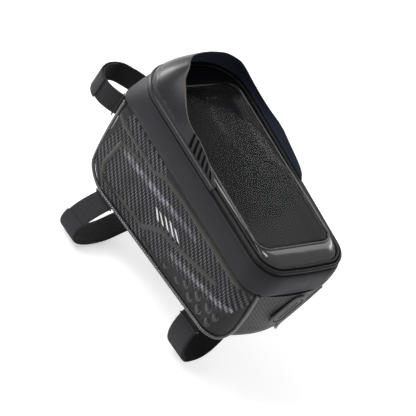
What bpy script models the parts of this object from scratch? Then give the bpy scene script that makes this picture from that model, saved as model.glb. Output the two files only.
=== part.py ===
"""Hard-shell top-tube frame bag with a phone window, modelled in metres with +Z up.

+X points to the handlebar end and +Y to the bag's left side. The origin is the middle of the
pad face that sits on the bicycle's top tube. The lid is parallel to the XY plane, and the
bottom slopes, because the bag is deeper at its front.
"""

import math

import bmesh
import bpy
from mathutils import Matrix, Vector

# Plan of the bag at its zip
ZIP_LENGTH = 0.2072
FRONT_WIDTH = 0.1020
REAR_WIDTH = 0.0885
FRONT_CORNER = 0.0356
REAR_CORNER = 0.0219
FRONT_BULGE = 0.0033
REAR_BULGE = 0.0018
APEX_RADIUS = 0.25
FLAT_SPREAD = 0.05
CORNER_STEPS = 7
APEX_STEPS = 2

# Body below the zip
BODY_OUTSET = 0.0007
BODY_FRONT_CORNER = 0.0140
BAND_HEIGHT = 0.0257
BAND_WALL = 0.0024
SIDE_TAPER = 0.0080
TAPER_DEPTH = 0.0743
BOTTOM_DEPTH = 0.1020
BOTTOM_SLOPE = 0.128
PANEL_WALL = 0.0030
GUSSET_WALL = 0.0018
GUSSET_REAR_BULGE = 0.0039
GUSSET_FRONT = 0.1066
GAP = 0.0003

# Side panel outline: how far it wraps round each corner, and its lower corners
WRAP_REAR_TOP = 0.0220
WRAP_REAR_BOTTOM = 0.0335
WRAP_FRONT_TOP = 0.0010
WRAP_FRONT_BOTTOM = 0.0095
PANEL_REAR_RADIUS = 0.0140
PANEL_FRONT_RADIUS = 0.0280
WELT_RADIUS = 0.0015
WELT_INSET = 0.0004
RIB_WIDTH = 0.0042
RIB_HEIGHT = 0.0009
RIB_ROOT = 0.0010
BUMP_RADIUS = 0.0030

# Zip, between the band and the lid
TAPE_WALL = 0.0006
BODY_TAPE_INSET = 0.0036
BODY_TAPE_DEPTH = 0.0110
COIL_INSET = 0.0013
COIL_TOP = 0.0018
COIL_HEIGHT = 0.0005
LID_TAPE_INSET = 0.0056
LID_TAPE_TOP = -0.00085

# Lid, heights above the zip plane
LID_PIPING_RADIUS = 0.0015
LID_PIPING_INSET = 0.0021
LID_PIPING_HEIGHT = 0.0010
FRAME_INSET = 0.0041
FRAME_LOW = -0.0005
FRAME_WALL = 0.0017
BEZEL_PIPING_RADIUS = 0.0010
BEZEL_PIPING_INSET = 0.0050
BEZEL_INSET = 0.0063
BEZEL_FOOT = 0.0015
BEZEL_TOP = 0.0042
BEZEL_WALL = 0.0008
WINDOW_LENGTH = 0.1610
WINDOW_WIDTH = 0.0752
WINDOW_CORNER = 0.0110
WINDOW_MIDDLE = -0.0015
FILM_WALL = 0.0006
POCKET_LENGTH = 0.1650
POCKET_WIDTH = 0.0778
POCKET_CORNER = 0.0120
POCKET_FLOOR = -0.0063
POCKET_WALL = 0.0010
POCKET_TOP = -0.0018
TAB_LENGTH = 0.0280
TAB_WIDTH = 0.0280
TAB_WALL = 0.0012

# Sun hood: how far back it reaches, its thickness, and its rim at the front and the sides
HOOD_BACK = -0.0200
HOOD_WALL = 0.0008
HOOD_FLANGE = [(-0.00015, 0.0000), (-0.00015, 0.0016), (0.0008, 0.0030)]
HOOD_FOOT = (0.0019, 0.0034)
HOOD_FRONT_HEIGHT = 0.0310
HOOD_SIDE_HEIGHT = 0.0152
HOOD_FRONT_LEAN = 0.0135
HOOD_CORNER_LEAN = 0.0185
HOOD_SIDE_LEAN = 0.0020
LOUVRE_COUNT = 5
LOUVRE_PITCH = 0.0072
LOUVRE_WIDTH = 0.0036
LOUVRE_DEPTH = 0.0005
LOUVRE_LENGTH = 0.0105

# Straps: webbing, and the pads that hold them against the bag
STRAP_WIDTH = 0.0220
STRAP_WALL = 0.0015
STRAP_LAYER = 0.0019
STRAP_STEPS = 36
PAD_WALL = 0.0046
PAD_WIDTH = 0.0180
PAD_FRONT = 0.0790
PAD_REAR = -0.0900
CHANNEL_DEPTH = 0.0024
STRAP_FRONT_X = 0.0660
STRAP_REAR_X = -0.0610
HEAD_STRAP_DEPTH = 0.0560
PATCH_HEIGHT = 0.0360
PATCH_OFFSET = 0.0050
RING_BAR = 0.0010

# Each loop, seen along its own axis: an oval's two radii and its tilt in degrees, how far its
# middle is to the left and below the channel, how its upper part is drawn up and across, and
# the angle round it where its ring sits
LOOP_FRONT = (0.0405, 0.0185, -20.0, 0.0200, -0.0191, 0.25, 0.0, 75.0)
LOOP_REAR = (0.0180, 0.0243, 9.0, 0.0079, -0.0284, 0.95, -0.0080, 20.0)
LOOP_HEAD = (0.0215, 0.0168, -35.0, 0.0169, -0.0185, 0.85, -0.0070, 80.0)
TAIL_START = -60.0
TAIL_END = 32.0

# Cable port in the rear of the gusset
PORT_LENGTH = 0.0360
PORT_WIDTH = 0.0160
PORT_RIM = 0.0032
PORT_RIM_HEIGHT = 0.0014
PORT_TILT = -20.0
PORT_OFFSET = -0.0060
PORT_DEPTH = 0.0455

# Slider and pull tab, on the right-hand side near the front
SLIDER_X = 0.0600
SLIDER_LENGTH = 0.0110
SLIDER_WALL = 0.0028
PULL_LENGTH = 0.0260
PULL_WIDTH = 0.0060
PULL_WALL = 0.0014
PULL_PIN = 0.0005
PULL_LUG = 0.0012
PULL_DROP = 0.0030
SLIDER_INSET = 0.0012

# Stiffeners inside the body
BOARD_WALL = 0.0025
BOARD_FRONT = 0.0640
BOARD_REAR = -0.0770
BOARD_WIDTH = 0.0680

# Worked out from the sizes above
GUSSET_DROP = 2 * WELT_RADIUS - WELT_INSET
PAD_TOP_DEPTH = GUSSET_DROP + 1.5 * GAP
ZIP_HEIGHT = BOTTOM_DEPTH + PAD_TOP_DEPTH + PAD_WALL
HINGE_X = ZIP_LENGTH / 2 + FRONT_BULGE
HINGE_DEPTH = 0.0006
PULL_OUT = SLIDER_INSET + SLIDER_WALL + 0.0018
PULL_UP = -PULL_DROP

PARTS = "frame_bag"
CUTTERS = "frame_bag_cutters"


def clear_scene():
    for obj in list(bpy.data.objects):
        bpy.data.objects.remove(obj, do_unlink=True)
    for name in (PARTS, CUTTERS):
        bpy.context.scene.collection.children.link(bpy.data.collections.new(name))


def material(name, color, roughness, metallic=0.0, alpha=1.0):
    made = bpy.data.materials.new(name)
    made.use_nodes = True
    shader = made.node_tree.nodes["Principled BSDF"]
    shader.inputs["Base Color"].default_value = (*color, 1.0)
    shader.inputs["Roughness"].default_value = roughness
    shader.inputs["Metallic"].default_value = metallic
    shader.inputs["Alpha"].default_value = alpha
    made.diffuse_color = (*color, alpha)
    return made


def add_object(name, mesh_data, finish, smooth=True):
    obj = bpy.data.objects.new(name, mesh_data)
    bpy.data.collections[PARTS].objects.link(obj)
    obj.data.materials.append(finish)
    if smooth and obj.type == "MESH":
        obj.data.shade_smooth()
        obj.data.set_sharp_from_angle(angle=math.radians(40))
    return obj


def add_mesh(name, bm, finish, smooth=True):
    bmesh.ops.recalc_face_normals(bm, faces=bm.faces)
    if bm.calc_volume(signed=True) < 0:
        bmesh.ops.reverse_faces(bm, faces=bm.faces)
    mesh = bpy.data.meshes.new(name)
    bm.to_mesh(mesh)
    bm.free()
    return add_object(name, mesh, finish, smooth)


def make_cutter(obj):
    bpy.data.collections[PARTS].objects.unlink(obj)
    bpy.data.collections[CUTTERS].objects.link(obj)
    obj.hide_render = True
    obj.display_type = "WIRE"
    return obj


def boolean(obj, other, operation):
    modifier = obj.modifiers.new(operation.lower(), "BOOLEAN")
    modifier.operation = operation
    modifier.object = make_cutter(other)


def fillet(before, corner, after, radius, steps):
    """Arc that rounds a convex corner of a counter-clockwise outline, as (point, outward normal).

    A corner with no turn gets points spread along its straight edge.
    """
    back = (before - corner).normalized()
    ahead = (after - corner).normalized()
    if (back + ahead).length < 1e-6:
        reach = radius * FLAT_SPREAD
        outward = Vector((ahead.y, -ahead.x))
        spread = [reach * (2 * i / steps - 1) for i in range(steps + 1)]
        return [(corner + ahead * place, outward) for place in spread]
    half = back.angle(ahead) / 2
    middle = corner + (back + ahead).normalized() * (radius / math.sin(half))
    start = corner + back * (radius / math.tan(half)) - middle
    end = corner + ahead * (radius / math.tan(half)) - middle
    turn = start.angle_signed(end)
    arc = []
    for i in range(steps + 1):
        angle = math.atan2(start.y, start.x) - turn * i / steps
        normal = Vector((math.cos(angle), math.sin(angle)))
        arc.append((middle + normal * radius, normal))
    return arc


def rounded_loop(corners):
    """Closed outline through (x, y, radius, steps) corners, counter-clockwise."""
    points = [Vector(corner[:2]) for corner in corners]
    loop = []
    for i, (_, _, radius, steps) in enumerate(corners):
        after = points[(i + 1) % len(points)]
        loop += fillet(points[i - 1], points[i], after, radius, steps)
    return loop


def plan_loop(front_corner=FRONT_CORNER, outset=0.0):
    """The bag's outline seen from above: tapered, with rounded corners and bowed ends."""
    end = ZIP_LENGTH / 2
    rear, front = REAR_WIDTH / 2, FRONT_WIDTH / 2
    loop = rounded_loop(
        [
            (-end - REAR_BULGE, 0.0, APEX_RADIUS, APEX_STEPS),
            (-end, -rear, REAR_CORNER, CORNER_STEPS),
            (end, -front, front_corner, CORNER_STEPS),
            (end + FRONT_BULGE, 0.0, APEX_RADIUS, APEX_STEPS),
            (end, front, front_corner, CORNER_STEPS),
            (-end, rear, REAR_CORNER, CORNER_STEPS),
        ]
    )
    return [(point + normal * outset, normal) for point, normal in loop]


def box_loop(length, width, radius, middle):
    """A rounded rectangle with as many points, in the same order, as the plan loop."""
    x, y = length / 2, width / 2
    return rounded_loop(
        [
            (middle - x, 0.0, APEX_RADIUS, APEX_STEPS),
            (middle - x, -y, radius, CORNER_STEPS),
            (middle + x, -y, radius, CORNER_STEPS),
            (middle + x, 0.0, APEX_RADIUS, APEX_STEPS),
            (middle + x, y, radius, CORNER_STEPS),
            (middle - x, y, radius, CORNER_STEPS),
        ]
    )


def places_of(loop):
    return [point for point, _ in loop]


def row(loop, inset, height):
    """One row of a ring: the loop moved in by inset, at a height over the zip plane."""
    points = []
    for point, normal in loop:
        flat = point - normal * inset
        points.append(Vector((flat.x, flat.y, ZIP_HEIGHT + height)))
    return points


def bridge(bm, rows, closed_rows, closed_points=True):
    """Faces between rows of equally many points."""
    grid = [[bm.verts.new(point) for point in points] for points in rows]
    count = len(grid)
    for i in range(count if closed_rows else count - 1):
        here, there = grid[i], grid[(i + 1) % count]
        size = len(here)
        for j in range(size if closed_points else size - 1):
            k = (j + 1) % size
            bm.faces.new((here[j], here[k], there[k], there[j]))
    return grid


def ring(name, rows, finish):
    """A closed ring whose section runs through the rows."""
    bm = bmesh.new()
    bridge(bm, rows, closed_rows=True)
    return add_mesh(name, bm, finish)


def prism(name, outline, low, high, finish, axis="Z"):
    """A flat outline drawn out between two places along an axis."""
    bm = bmesh.new()
    places = {
        "X": lambda p, along: Vector((along, p[0], p[1])),
        "Y": lambda p, along: Vector((p[0], along, p[1])),
        "Z": lambda p, along: Vector((p[0], p[1], along)),
    }
    ends = [[bm.verts.new(places[axis](p, along)) for p in outline] for along in (low, high)]
    size = len(outline)
    for j in range(size):
        k = (j + 1) % size
        bm.faces.new((ends[0][j], ends[0][k], ends[1][k], ends[1][j]))
    bm.faces.new(ends[0])
    bm.faces.new(ends[1])
    return add_mesh(name, bm, finish, smooth=False)


def box(name, low, high, finish, bevel=0.0):
    """A block between two corners, with its edges rounded."""
    bm = bmesh.new()
    bmesh.ops.create_cube(bm, size=1.0)
    for vert in bm.verts:
        for i in range(3):
            vert.co[i] = low[i] if vert.co[i] < 0 else high[i]
    if bevel:
        bmesh.ops.bevel(bm, geom=bm.edges, offset=bevel, segments=2, profile=0.5, affect="EDGES")
    return add_mesh(name, bm, finish)


def tube(name, points, radius, finish, sides, cyclic=False):
    """A round bar along points, as a mesh with closed ends."""
    curve = bpy.data.curves.new(name, "CURVE")
    curve.dimensions = "3D"
    curve.bevel_depth = radius
    curve.bevel_resolution = sides // 2 - 2
    curve.use_fill_caps = not cyclic
    spline = curve.splines.new("POLY")
    spline.points.add(len(points) - 1)
    for point, place in zip(spline.points, points):
        point.co = (*place, 1.0)
    spline.use_cyclic_u = cyclic
    guide = bpy.data.objects.new(name + "_curve", curve)
    bpy.context.scene.collection.objects.link(guide)
    bpy.context.view_layer.update()
    graph = bpy.context.evaluated_depsgraph_get()
    mesh = bpy.data.meshes.new_from_object(guide.evaluated_get(graph))
    bpy.data.objects.remove(guide, do_unlink=True)
    bm = bmesh.new()
    bm.from_mesh(mesh)
    bmesh.ops.remove_doubles(bm, verts=bm.verts, dist=1e-6)
    return add_mesh(name, bm, finish)


class Side:
    """The left face of the lower body, addressed by run, forward along it, and depth."""

    def __init__(self):
        end = ZIP_LENGTH / 2
        rear = Vector((-end, REAR_WIDTH / 2))
        front = Vector((end, FRONT_WIDTH / 2))
        self.along = (front - rear).normalized()
        self.normal = Vector((-self.along.y, self.along.x))
        back = (Vector((-end - REAR_BULGE, 0.0)) - rear).normalized()
        ahead = (Vector((end + FRONT_BULGE, 0.0)) - front).normalized()
        rear_half = back.angle(self.along) / 2
        front_half = ahead.angle(-self.along) / 2
        self.start = rear + self.along * (REAR_CORNER / math.tan(rear_half))
        finish = front - self.along * (BODY_FRONT_CORNER / math.tan(front_half))
        self.length = (finish - self.start).length
        self.rear_radius = REAR_CORNER + BODY_OUTSET
        self.front_radius = BODY_FRONT_CORNER + BODY_OUTSET
        self.rear_middle = self.start - self.normal * REAR_CORNER
        self.front_middle = finish - self.normal * BODY_FRONT_CORNER

    def run_at(self, x):
        return (x - self.start.x) / self.along.x

    def plan(self, run):
        """(point, normal) on the body's outline."""
        if run < 0.0:
            turn = -run / self.rear_radius
            normal = turned(self.normal, turn)
            return self.rear_middle + normal * self.rear_radius, normal
        if run > self.length:
            turn = (self.length - run) / self.front_radius
            normal = turned(self.normal, turn)
            return self.front_middle + normal * self.front_radius, normal
        return self.start + self.along * run + self.normal * BODY_OUTSET, self.normal

    def taper(self, depth):
        return SIDE_TAPER * max(0.0, depth - BAND_HEIGHT) / TAPER_DEPTH

    def point(self, run, depth, inset=0.0, side=1):
        flat, normal = self.plan(run)
        flat = flat - normal * (inset + self.taper(depth))
        return Vector((flat.x, side * flat.y, ZIP_HEIGHT - depth))

    def stretch(self, run, depth):
        """Run that a unit of length takes up where the side bends round a corner."""
        if 0.0 <= run <= self.length:
            return 1.0
        radius = self.rear_radius if run < 0.0 else self.front_radius
        return radius / (radius - self.taper(depth))


def turned(vector, angle):
    """A 2D vector turned counter-clockwise."""
    c, s = math.cos(angle), math.sin(angle)
    return Vector((c * vector.x - s * vector.y, s * vector.x + c * vector.y))


SIDE = Side()
SIDES = {"left": 1, "right": -1}


def bottom_depth(x):
    """Depth of the side panels' lower edge under the zip plane."""
    return BOTTOM_DEPTH + BOTTOM_SLOPE * x


def panel_edge():
    """Edge of a side panel down its rear, along the bottom and up its front.

    Each entry is (run, depth, outward run, outward depth).
    """
    top = BAND_HEIGHT + GAP
    rear_run = -WRAP_REAR_BOTTOM
    front_run = SIDE.length + WRAP_FRONT_BOTTOM
    rear_low = bottom_depth(SIDE.start.x + rear_run)
    front_low = bottom_depth(SIDE.start.x + front_run)
    corners = [
        Vector((-WRAP_REAR_TOP, -top)),
        Vector((rear_run, -rear_low)),
        Vector((front_run, -front_low)),
        Vector((SIDE.length + WRAP_FRONT_TOP, -top)),
    ]
    rear_arc = fillet(corners[0], corners[1], corners[2], PANEL_REAR_RADIUS, 5)
    front_arc = fillet(corners[1], corners[2], corners[3], PANEL_FRONT_RADIUS, 7)
    first = (corners[0], rear_arc[0][1])
    last = (corners[3], front_arc[-1][1])
    spaced = [first, *between(first, rear_arc[0], 4), *rear_arc]
    spaced += between(rear_arc[-1], front_arc[0], 5)
    spaced += [*front_arc, *between(front_arc[-1], last, 3), last]
    return [(point.x, -point.y, normal.x, -normal.y) for point, normal in spaced]


def between(first, last, count):
    """Points evenly between two (point, normal) entries."""
    made = []
    for i in range(1, count + 1):
        t = i / (count + 1)
        made.append((first[0].lerp(last[0], t), first[1].lerp(last[1], t).normalized()))
    return made


def edge_point(entry, outward, inset, side=1):
    run, depth, out_run, out_depth = entry
    run += out_run * outward * SIDE.stretch(run, depth)
    return SIDE.point(run, depth + out_depth * outward, inset, side)


def side_slab(name, outline, cuts, side, wall, finish):
    """A wall on the body's side, bounded by (run, depth) points and cut where it bends."""
    flat = bmesh.new()
    flat.faces.new([flat.verts.new((run, depth, 0.0)) for run, depth in outline])
    for run in cuts:
        geometry = list(flat.verts) + list(flat.edges) + list(flat.faces)
        cut = {"plane_co": (run, 0, 0), "plane_no": (1, 0, 0)}
        bmesh.ops.bisect_plane(flat, geom=geometry, dist=1e-7, **cut)
    bmesh.ops.triangulate(flat, faces=flat.faces)
    flat.verts.index_update()
    solid = bmesh.new()
    outer = [solid.verts.new(SIDE.point(v.co.x, v.co.y, 0.0, side)) for v in flat.verts]
    inner = [solid.verts.new(SIDE.point(v.co.x, v.co.y, wall, side)) for v in flat.verts]
    for face in flat.faces:
        solid.faces.new([outer[vert.index] for vert in face.verts])
        solid.faces.new([inner[vert.index] for vert in reversed(face.verts)])
    for edge in flat.edges:
        if edge.is_boundary:
            a, b = (vert.index for vert in edge.verts)
            solid.faces.new((outer[a], outer[b], inner[b], inner[a]))
    flat.free()
    return add_mesh(name, solid, finish)


def panel_place(share, drop):
    """(run, depth) at a share of the flat side's length and a share of the panel's height."""
    run = share * SIDE.length
    low = bottom_depth(SIDE.start.x + run * SIDE.along.x)
    return Vector((run, BAND_HEIGHT + drop * (low - BAND_HEIGHT)))


def rib_lines():
    """Raised ribs of a side panel, as (share of its length, share of its height)."""
    upper = [(0.977, 0.187), (0.844, 0.193), (0.665, 0.184), (0.584, 0.112), (0.025, 0.073)]
    contour = [(0.913, 0.364), (0.936, 0.582), (0.954, 0.729), (0.907, 0.849)]
    contour += [(0.855, 0.860), (0.570, 0.828), (0.515, 0.705)]
    contour += [(0.457, 0.604), (0.388, 0.583), (0.042, 0.365)]
    lower = [(0.527, 0.909), (0.463, 0.933), (0.077, 0.933)]
    return {"upper": upper, "contour": contour, "lower": lower}


def bump_places():
    """Domed bumps that grow towards the rear, as (share, share, size)."""
    return [
        (0.342, 0.851, 0.60),
        (0.250, 0.861, 0.70),
        (0.198, 0.775, 0.80),
        (0.146, 0.854, 0.90),
        (0.111, 0.724, 0.95),
        (0.074, 0.837, 1.00),
        (0.033, 0.690, 1.00),
    ]


def rib(name, line, side, finish):
    """A trapezium-shaped ridge along a line on the side."""
    bm = bmesh.new()
    places = [panel_place(share, drop) for share, drop in line]
    rows = []
    for i, place in enumerate(places):
        ahead = places[min(i + 1, len(places) - 1)]
        behind = places[max(i - 1, 0)]
        across = turned((ahead - behind).normalized(), math.pi / 2)
        section = [
            (RIB_WIDTH / 2, -RIB_ROOT),
            (RIB_WIDTH / 2, 0.0),
            (RIB_WIDTH / 4, RIB_HEIGHT),
            (-RIB_WIDTH / 4, RIB_HEIGHT),
            (-RIB_WIDTH / 2, 0.0),
            (-RIB_WIDTH / 2, -RIB_ROOT),
        ]
        points = []
        for sideways, lift in section:
            place_here = place + across * sideways
            points.append(SIDE.point(place_here.x, place_here.y, -lift, side))
        rows.append(points)
    grid = bridge(bm, rows, closed_rows=False)
    bm.faces.new(grid[0])
    bm.faces.new(grid[-1])
    return add_mesh(name, bm, finish)


def bump(name, share, drop, size, side, finish):
    """A dome that stands out of the side by about a third of its own radius."""
    bm = bmesh.new()
    radius = BUMP_RADIUS * size
    bmesh.ops.create_uvsphere(bm, u_segments=10, v_segments=6, radius=radius)
    run, depth = panel_place(share, drop)
    place = SIDE.point(run, depth, 0.0, side)
    along = SIDE.point(run + radius, depth, 0.0, side) - place
    below = SIDE.point(run, depth + radius, 0.0, side) - place
    outward = along.cross(below).normalized() * side
    lean = Vector((0.0, 0.0, 1.0)).rotation_difference(outward).to_matrix()
    bmesh.ops.rotate(bm, verts=bm.verts, matrix=lean)
    bmesh.ops.translate(bm, verts=bm.verts, vec=place - outward * radius * 0.65)
    return add_mesh(name, bm, finish)


def corner_cuts(first, last, count):
    return [first + (last - first) * i / count for i in range(count + 1)]


def side_panels(finish):
    """Moulded side shells: carbon-look skin over foam, with ribs and bumps."""
    outline = [(entry[0], entry[1]) for entry in panel_edge()]
    cuts = corner_cuts(-WRAP_REAR_BOTTOM * 0.87, 0.0, 6)
    cuts += corner_cuts(SIDE.length, SIDE.length + WRAP_FRONT_BOTTOM * 0.75, 3)
    for side_name, side in SIDES.items():
        panel = side_slab(f"side_panel_{side_name}", outline, cuts, side, PANEL_WALL, finish)
        for line_name, line in rib_lines().items():
            ridge = rib(f"rib_{line_name}_{side_name}", line, side, finish)
            boolean(panel, ridge, "UNION")
        for i, (share, drop, size) in enumerate(bump_places()):
            dome = bump(f"bump_{i}_{side_name}", share, drop, size, side, finish)
            boolean(panel, dome, "UNION")


def welts(finish):
    """Piping sewn between each side panel and the gusset."""
    for side_name, side in SIDES.items():
        path = []
        for entry in panel_edge():
            path.append(edge_point(entry, WELT_RADIUS + 2 * GAP, WELT_INSET, side))
        path[0].z = ZIP_HEIGHT - BAND_HEIGHT - 3 * GAP
        path[-1].z = ZIP_HEIGHT - BAND_HEIGHT - 3 * GAP
        tube(f"welt_{side_name}", path, WELT_RADIUS, finish, 6)


def gusset_rows(wall=0.0):
    """Rows of the gusset's outer face, or of a face that far inside it, from left to right."""
    rows = []
    for entry in panel_edge():
        _, _, out_run, out_depth = entry
        tucked = 1.0 - max(0.0, -out_run) ** 2
        outward = (2 * WELT_RADIUS + 3.5 * GAP) * (1 - tucked) + GUSSET_DROP * tucked
        inset = GAP * (1 - tucked) + 2 * WELT_RADIUS * tucked
        left = edge_point(entry, outward, inset)
        reach = GUSSET_FRONT - left.x if out_run > 0 else GUSSET_REAR_BULGE
        power = 3.0 if out_run > 0 else 2.2
        points = []
        for v in (1.0, 0.82, 0.55, 0.0, -0.55, -0.82, -1.0):
            swell = reach * out_run ** 2 * (1 - abs(v) ** power) - wall
            points.append(Vector((left.x + out_run * swell, left.y * v, left.z - out_depth * swell)))
        rows.append(points)
    for points in (rows[0], rows[-1]):
        for point in points:
            point.z = ZIP_HEIGHT - BAND_HEIGHT - GAP
    return rows


def gusset(finish):
    """The strip that runs down the rear, along the bottom and up the front."""
    bm = bmesh.new()
    sections = []
    for outer, inner in zip(gusset_rows(), gusset_rows(GUSSET_WALL)):
        sections.append(outer + inner[::-1])
    grid = bridge(bm, sections, closed_rows=False)
    bm.faces.new(grid[0])
    bm.faces.new(grid[-1])
    strip = add_mesh("gusset", bm, finish)
    face = rear_face_x()
    low, high = face - GUSSET_WALL, face + 4 * GUSSET_WALL
    hole = oval_prism("port_hole", -PORT_RIM / 2, low, high, finish)
    boolean(strip, hole, "DIFFERENCE")
    return strip


def rear_face_x():
    return min(point.x for points in gusset_rows() for point in points)


def oval(length, width, steps=7):
    """Outline of an oval port with straight sides, standing and tilted, as (y, z)."""
    y, z = width / 2, length / 2
    radius = 0.97 * y
    corners = [(a * y, b * z, radius, steps) for a, b in ((-1, -1), (1, -1), (1, 1), (-1, 1))]
    tilt = math.radians(PORT_TILT)
    middle = Vector((PORT_OFFSET, ZIP_HEIGHT - PORT_DEPTH))
    return [turned(point, -tilt) + middle for point, _ in rounded_loop(corners)]


def oval_prism(name, grow, low, high, finish):
    outline = oval(PORT_LENGTH + 2 * grow, PORT_WIDTH + 2 * grow)
    return prism(name, outline, low, high, finish, "X")


def cable_port(finish_ring, finish_pad):
    """Rubber grommet round the cable hole, and the slit pad that closes it."""
    face = rear_face_x() - GAP
    grommet = oval_prism("cable_port_grommet", 0.0, face - PORT_RIM_HEIGHT, face, finish_ring)
    low, high = face - 2 * PORT_RIM_HEIGHT, face + PORT_RIM_HEIGHT
    eye = oval_prism("port_eye", -PORT_RIM, low, high, finish_ring)
    boolean(grommet, eye, "DIFFERENCE")
    pad = oval_prism(
        "cable_port_pad", -PORT_RIM - GAP, face - PORT_RIM_HEIGHT * 0.8, face + GUSSET_WALL, finish_pad
    )
    return grommet, pad


def upper_band(finish):
    """Smooth padded band that carries the zip."""
    low = plan_loop(BODY_FRONT_CORNER)
    high = plan_loop()

    def blended(inset, depth):
        share = min(1.0, max(0.0, (depth - 0.004) / (BAND_HEIGHT - 0.004))) ** 1.3
        rows = zip(row(high, inset, -depth), row(low, inset, -depth))
        return [top.lerp(bottom, share) for top, bottom in rows]

    outer = [(-BODY_OUTSET, BAND_HEIGHT), (-0.0013, 0.0140), (-0.0009, 0.0065), (0.0, 0.0032)]
    inner = [(-0.0009, 0.0065), (-0.0013, 0.0140), (-BODY_OUTSET, BAND_HEIGHT)]
    rows = [blended(inset, depth) for inset, depth in outer]
    rows.append(blended(COIL_INSET, COIL_TOP + COIL_HEIGHT + GAP))
    rows.append(blended(BAND_WALL, 0.0032))
    rows += [blended(inset + BAND_WALL, depth) for inset, depth in inner]
    return ring("upper_band", rows, finish)


def zip_tapes(finish):
    """Half of the zip on the band, with its coil, and half on the lid."""
    loop = plan_loop()
    top, low = -COIL_TOP, -COIL_TOP - COIL_HEIGHT
    body = [
        row(loop, COIL_INSET, top),
        row(loop, COIL_INSET, low),
        row(loop, BODY_TAPE_INSET - TAPE_WALL, low),
        row(loop, BODY_TAPE_INSET - TAPE_WALL, -BODY_TAPE_DEPTH),
        row(loop, BODY_TAPE_INSET, -BODY_TAPE_DEPTH),
        row(loop, BODY_TAPE_INSET, top),
    ]
    ring("zip_tape_body", body, finish)
    lid_low = LID_TAPE_TOP - TAPE_WALL
    lid = [
        row(loop, COIL_INSET, LID_TAPE_TOP),
        row(loop, COIL_INSET, lid_low),
        row(loop, LID_TAPE_INSET, lid_low),
        row(loop, LID_TAPE_INSET, LID_TAPE_TOP),
    ]
    ring("zip_tape_lid", lid, finish)


def piping_path(inset, height):
    return row(plan_loop(), inset, height)


def lid(finish_frame, finish_piping, finish_bezel, finish_film, finish_pocket):
    """Lid frame, its two pipings, the glossy bezel, the film and the pocket under it."""
    outer = plan_loop()
    opening = box_loop(WINDOW_LENGTH, WINDOW_WIDTH, WINDOW_CORNER, WINDOW_MIDDLE)
    frame_hole = box_loop(POCKET_LENGTH, POCKET_WIDTH, POCKET_CORNER, WINDOW_MIDDLE)
    high = FRAME_LOW + FRAME_WALL
    frame = [
        row(outer, FRAME_INSET, FRAME_LOW),
        row(outer, FRAME_INSET, high),
        row(frame_hole, 0.0, high),
        row(frame_hole, 0.0, FRAME_LOW),
    ]
    ring("lid_frame", frame, finish_frame)
    path = piping_path(LID_PIPING_INSET, LID_PIPING_HEIGHT)
    tube("lid_piping", path, LID_PIPING_RADIUS, finish_piping, 6, cyclic=True)
    height = high + GAP + BEZEL_PIPING_RADIUS
    path = piping_path(BEZEL_PIPING_INSET, height)
    tube("window_piping", path, BEZEL_PIPING_RADIUS, finish_piping, 6, cyclic=True)

    foot = row(outer, BEZEL_INSET, BEZEL_FOOT)
    lip = row(outer, BEZEL_INSET, BEZEL_FOOT + BEZEL_WALL)
    rim = row(opening, 0.0, BEZEL_TOP)
    under = row(opening, 0.0, BEZEL_TOP - BEZEL_WALL)
    rows = [foot, lip]
    for share, rise in ((0.3, 0.55), (0.65, 0.88)):
        rows.append(swept(lip, rim, share, rise))
    rows += [rim, under]
    for share, rise in ((0.65, 0.88), (0.3, 0.55)):
        rows.append(swept(foot, under, share, rise))
    ring("window_bezel", rows, finish_bezel)

    film = [point - normal * GAP for point, normal in opening]
    film_low = ZIP_HEIGHT + BEZEL_TOP - FILM_WALL
    prism("window_film", film, film_low, film_low + FILM_WALL, finish_film)
    phone_pocket(finish_pocket)


def swept(low, high, share, rise):
    """A row part of the way between two rows, risen faster than it has gone in."""
    points = []
    for start, end in zip(low, high):
        point = start.lerp(end, share)
        point.z = start.z + (end.z - start.z) * rise
        points.append(point)
    return points


def phone_pocket(finish):
    """Tray under the window, open at its rear end, with its hook-and-loop tab."""
    grown = box_loop(
        POCKET_LENGTH + 2 * POCKET_WALL, POCKET_WIDTH + 2 * POCKET_WALL, POCKET_CORNER, WINDOW_MIDDLE
    )
    low = ZIP_HEIGHT + POCKET_FLOOR
    tray = prism(
        "phone_pocket", places_of(grown), low - POCKET_WALL, ZIP_HEIGHT + POCKET_TOP, finish
    )
    mouth = WINDOW_MIDDLE - POCKET_LENGTH / 2
    inner = box_loop(POCKET_LENGTH, POCKET_WIDTH, POCKET_CORNER, WINDOW_MIDDLE)
    hollow = prism("pocket_hollow", places_of(inner), low, ZIP_HEIGHT, finish)
    boolean(tray, hollow, "DIFFERENCE")
    half = POCKET_WIDTH / 2
    slot = box(
        "pocket_mouth",
        (mouth - 2 * POCKET_WALL, -half, low),
        (mouth + POCKET_CORNER, half, ZIP_HEIGHT),
        finish,
    )
    boolean(tray, slot, "DIFFERENCE")
    high = low - POCKET_WALL - GAP
    box(
        "pocket_tab",
        (mouth - TAB_LENGTH / 2, -TAB_WIDTH / 2, high - TAB_WALL),
        (mouth + TAB_LENGTH / 2, TAB_WIDTH / 2, high),
        finish,
        TAB_WALL / 4,
    )


def hood_path():
    """Base of the hood round the front half of the lid, as (point, normal, share)."""
    loop = plan_loop()
    stations = []
    front = [entry for entry in loop if entry[0].x > 0.0]
    first, last = front[0], front[-1]
    back_right = straight_to(first, HOOD_BACK)
    back_left = straight_to(last, HOOD_BACK)
    stations.append(back_right)
    stations += between(back_right, first, 5)
    stations += front
    stations += between(last, back_left, 5)
    stations.append(back_left)
    lengths = [0.0]
    for (here, _), (there, _) in zip(stations, stations[1:]):
        lengths.append(lengths[-1] + (there - here).length)
    total = lengths[-1]
    return [(p, n, 1 - abs(2 * d / total - 1)) for (p, n), d in zip(stations, lengths)]


def straight_to(entry, x):
    """The entry's point carried along its straight side to another x."""
    point, normal = entry
    along = turned(normal, math.pi / 2)
    return point + along * ((x - point.x) / along.x), normal


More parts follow.
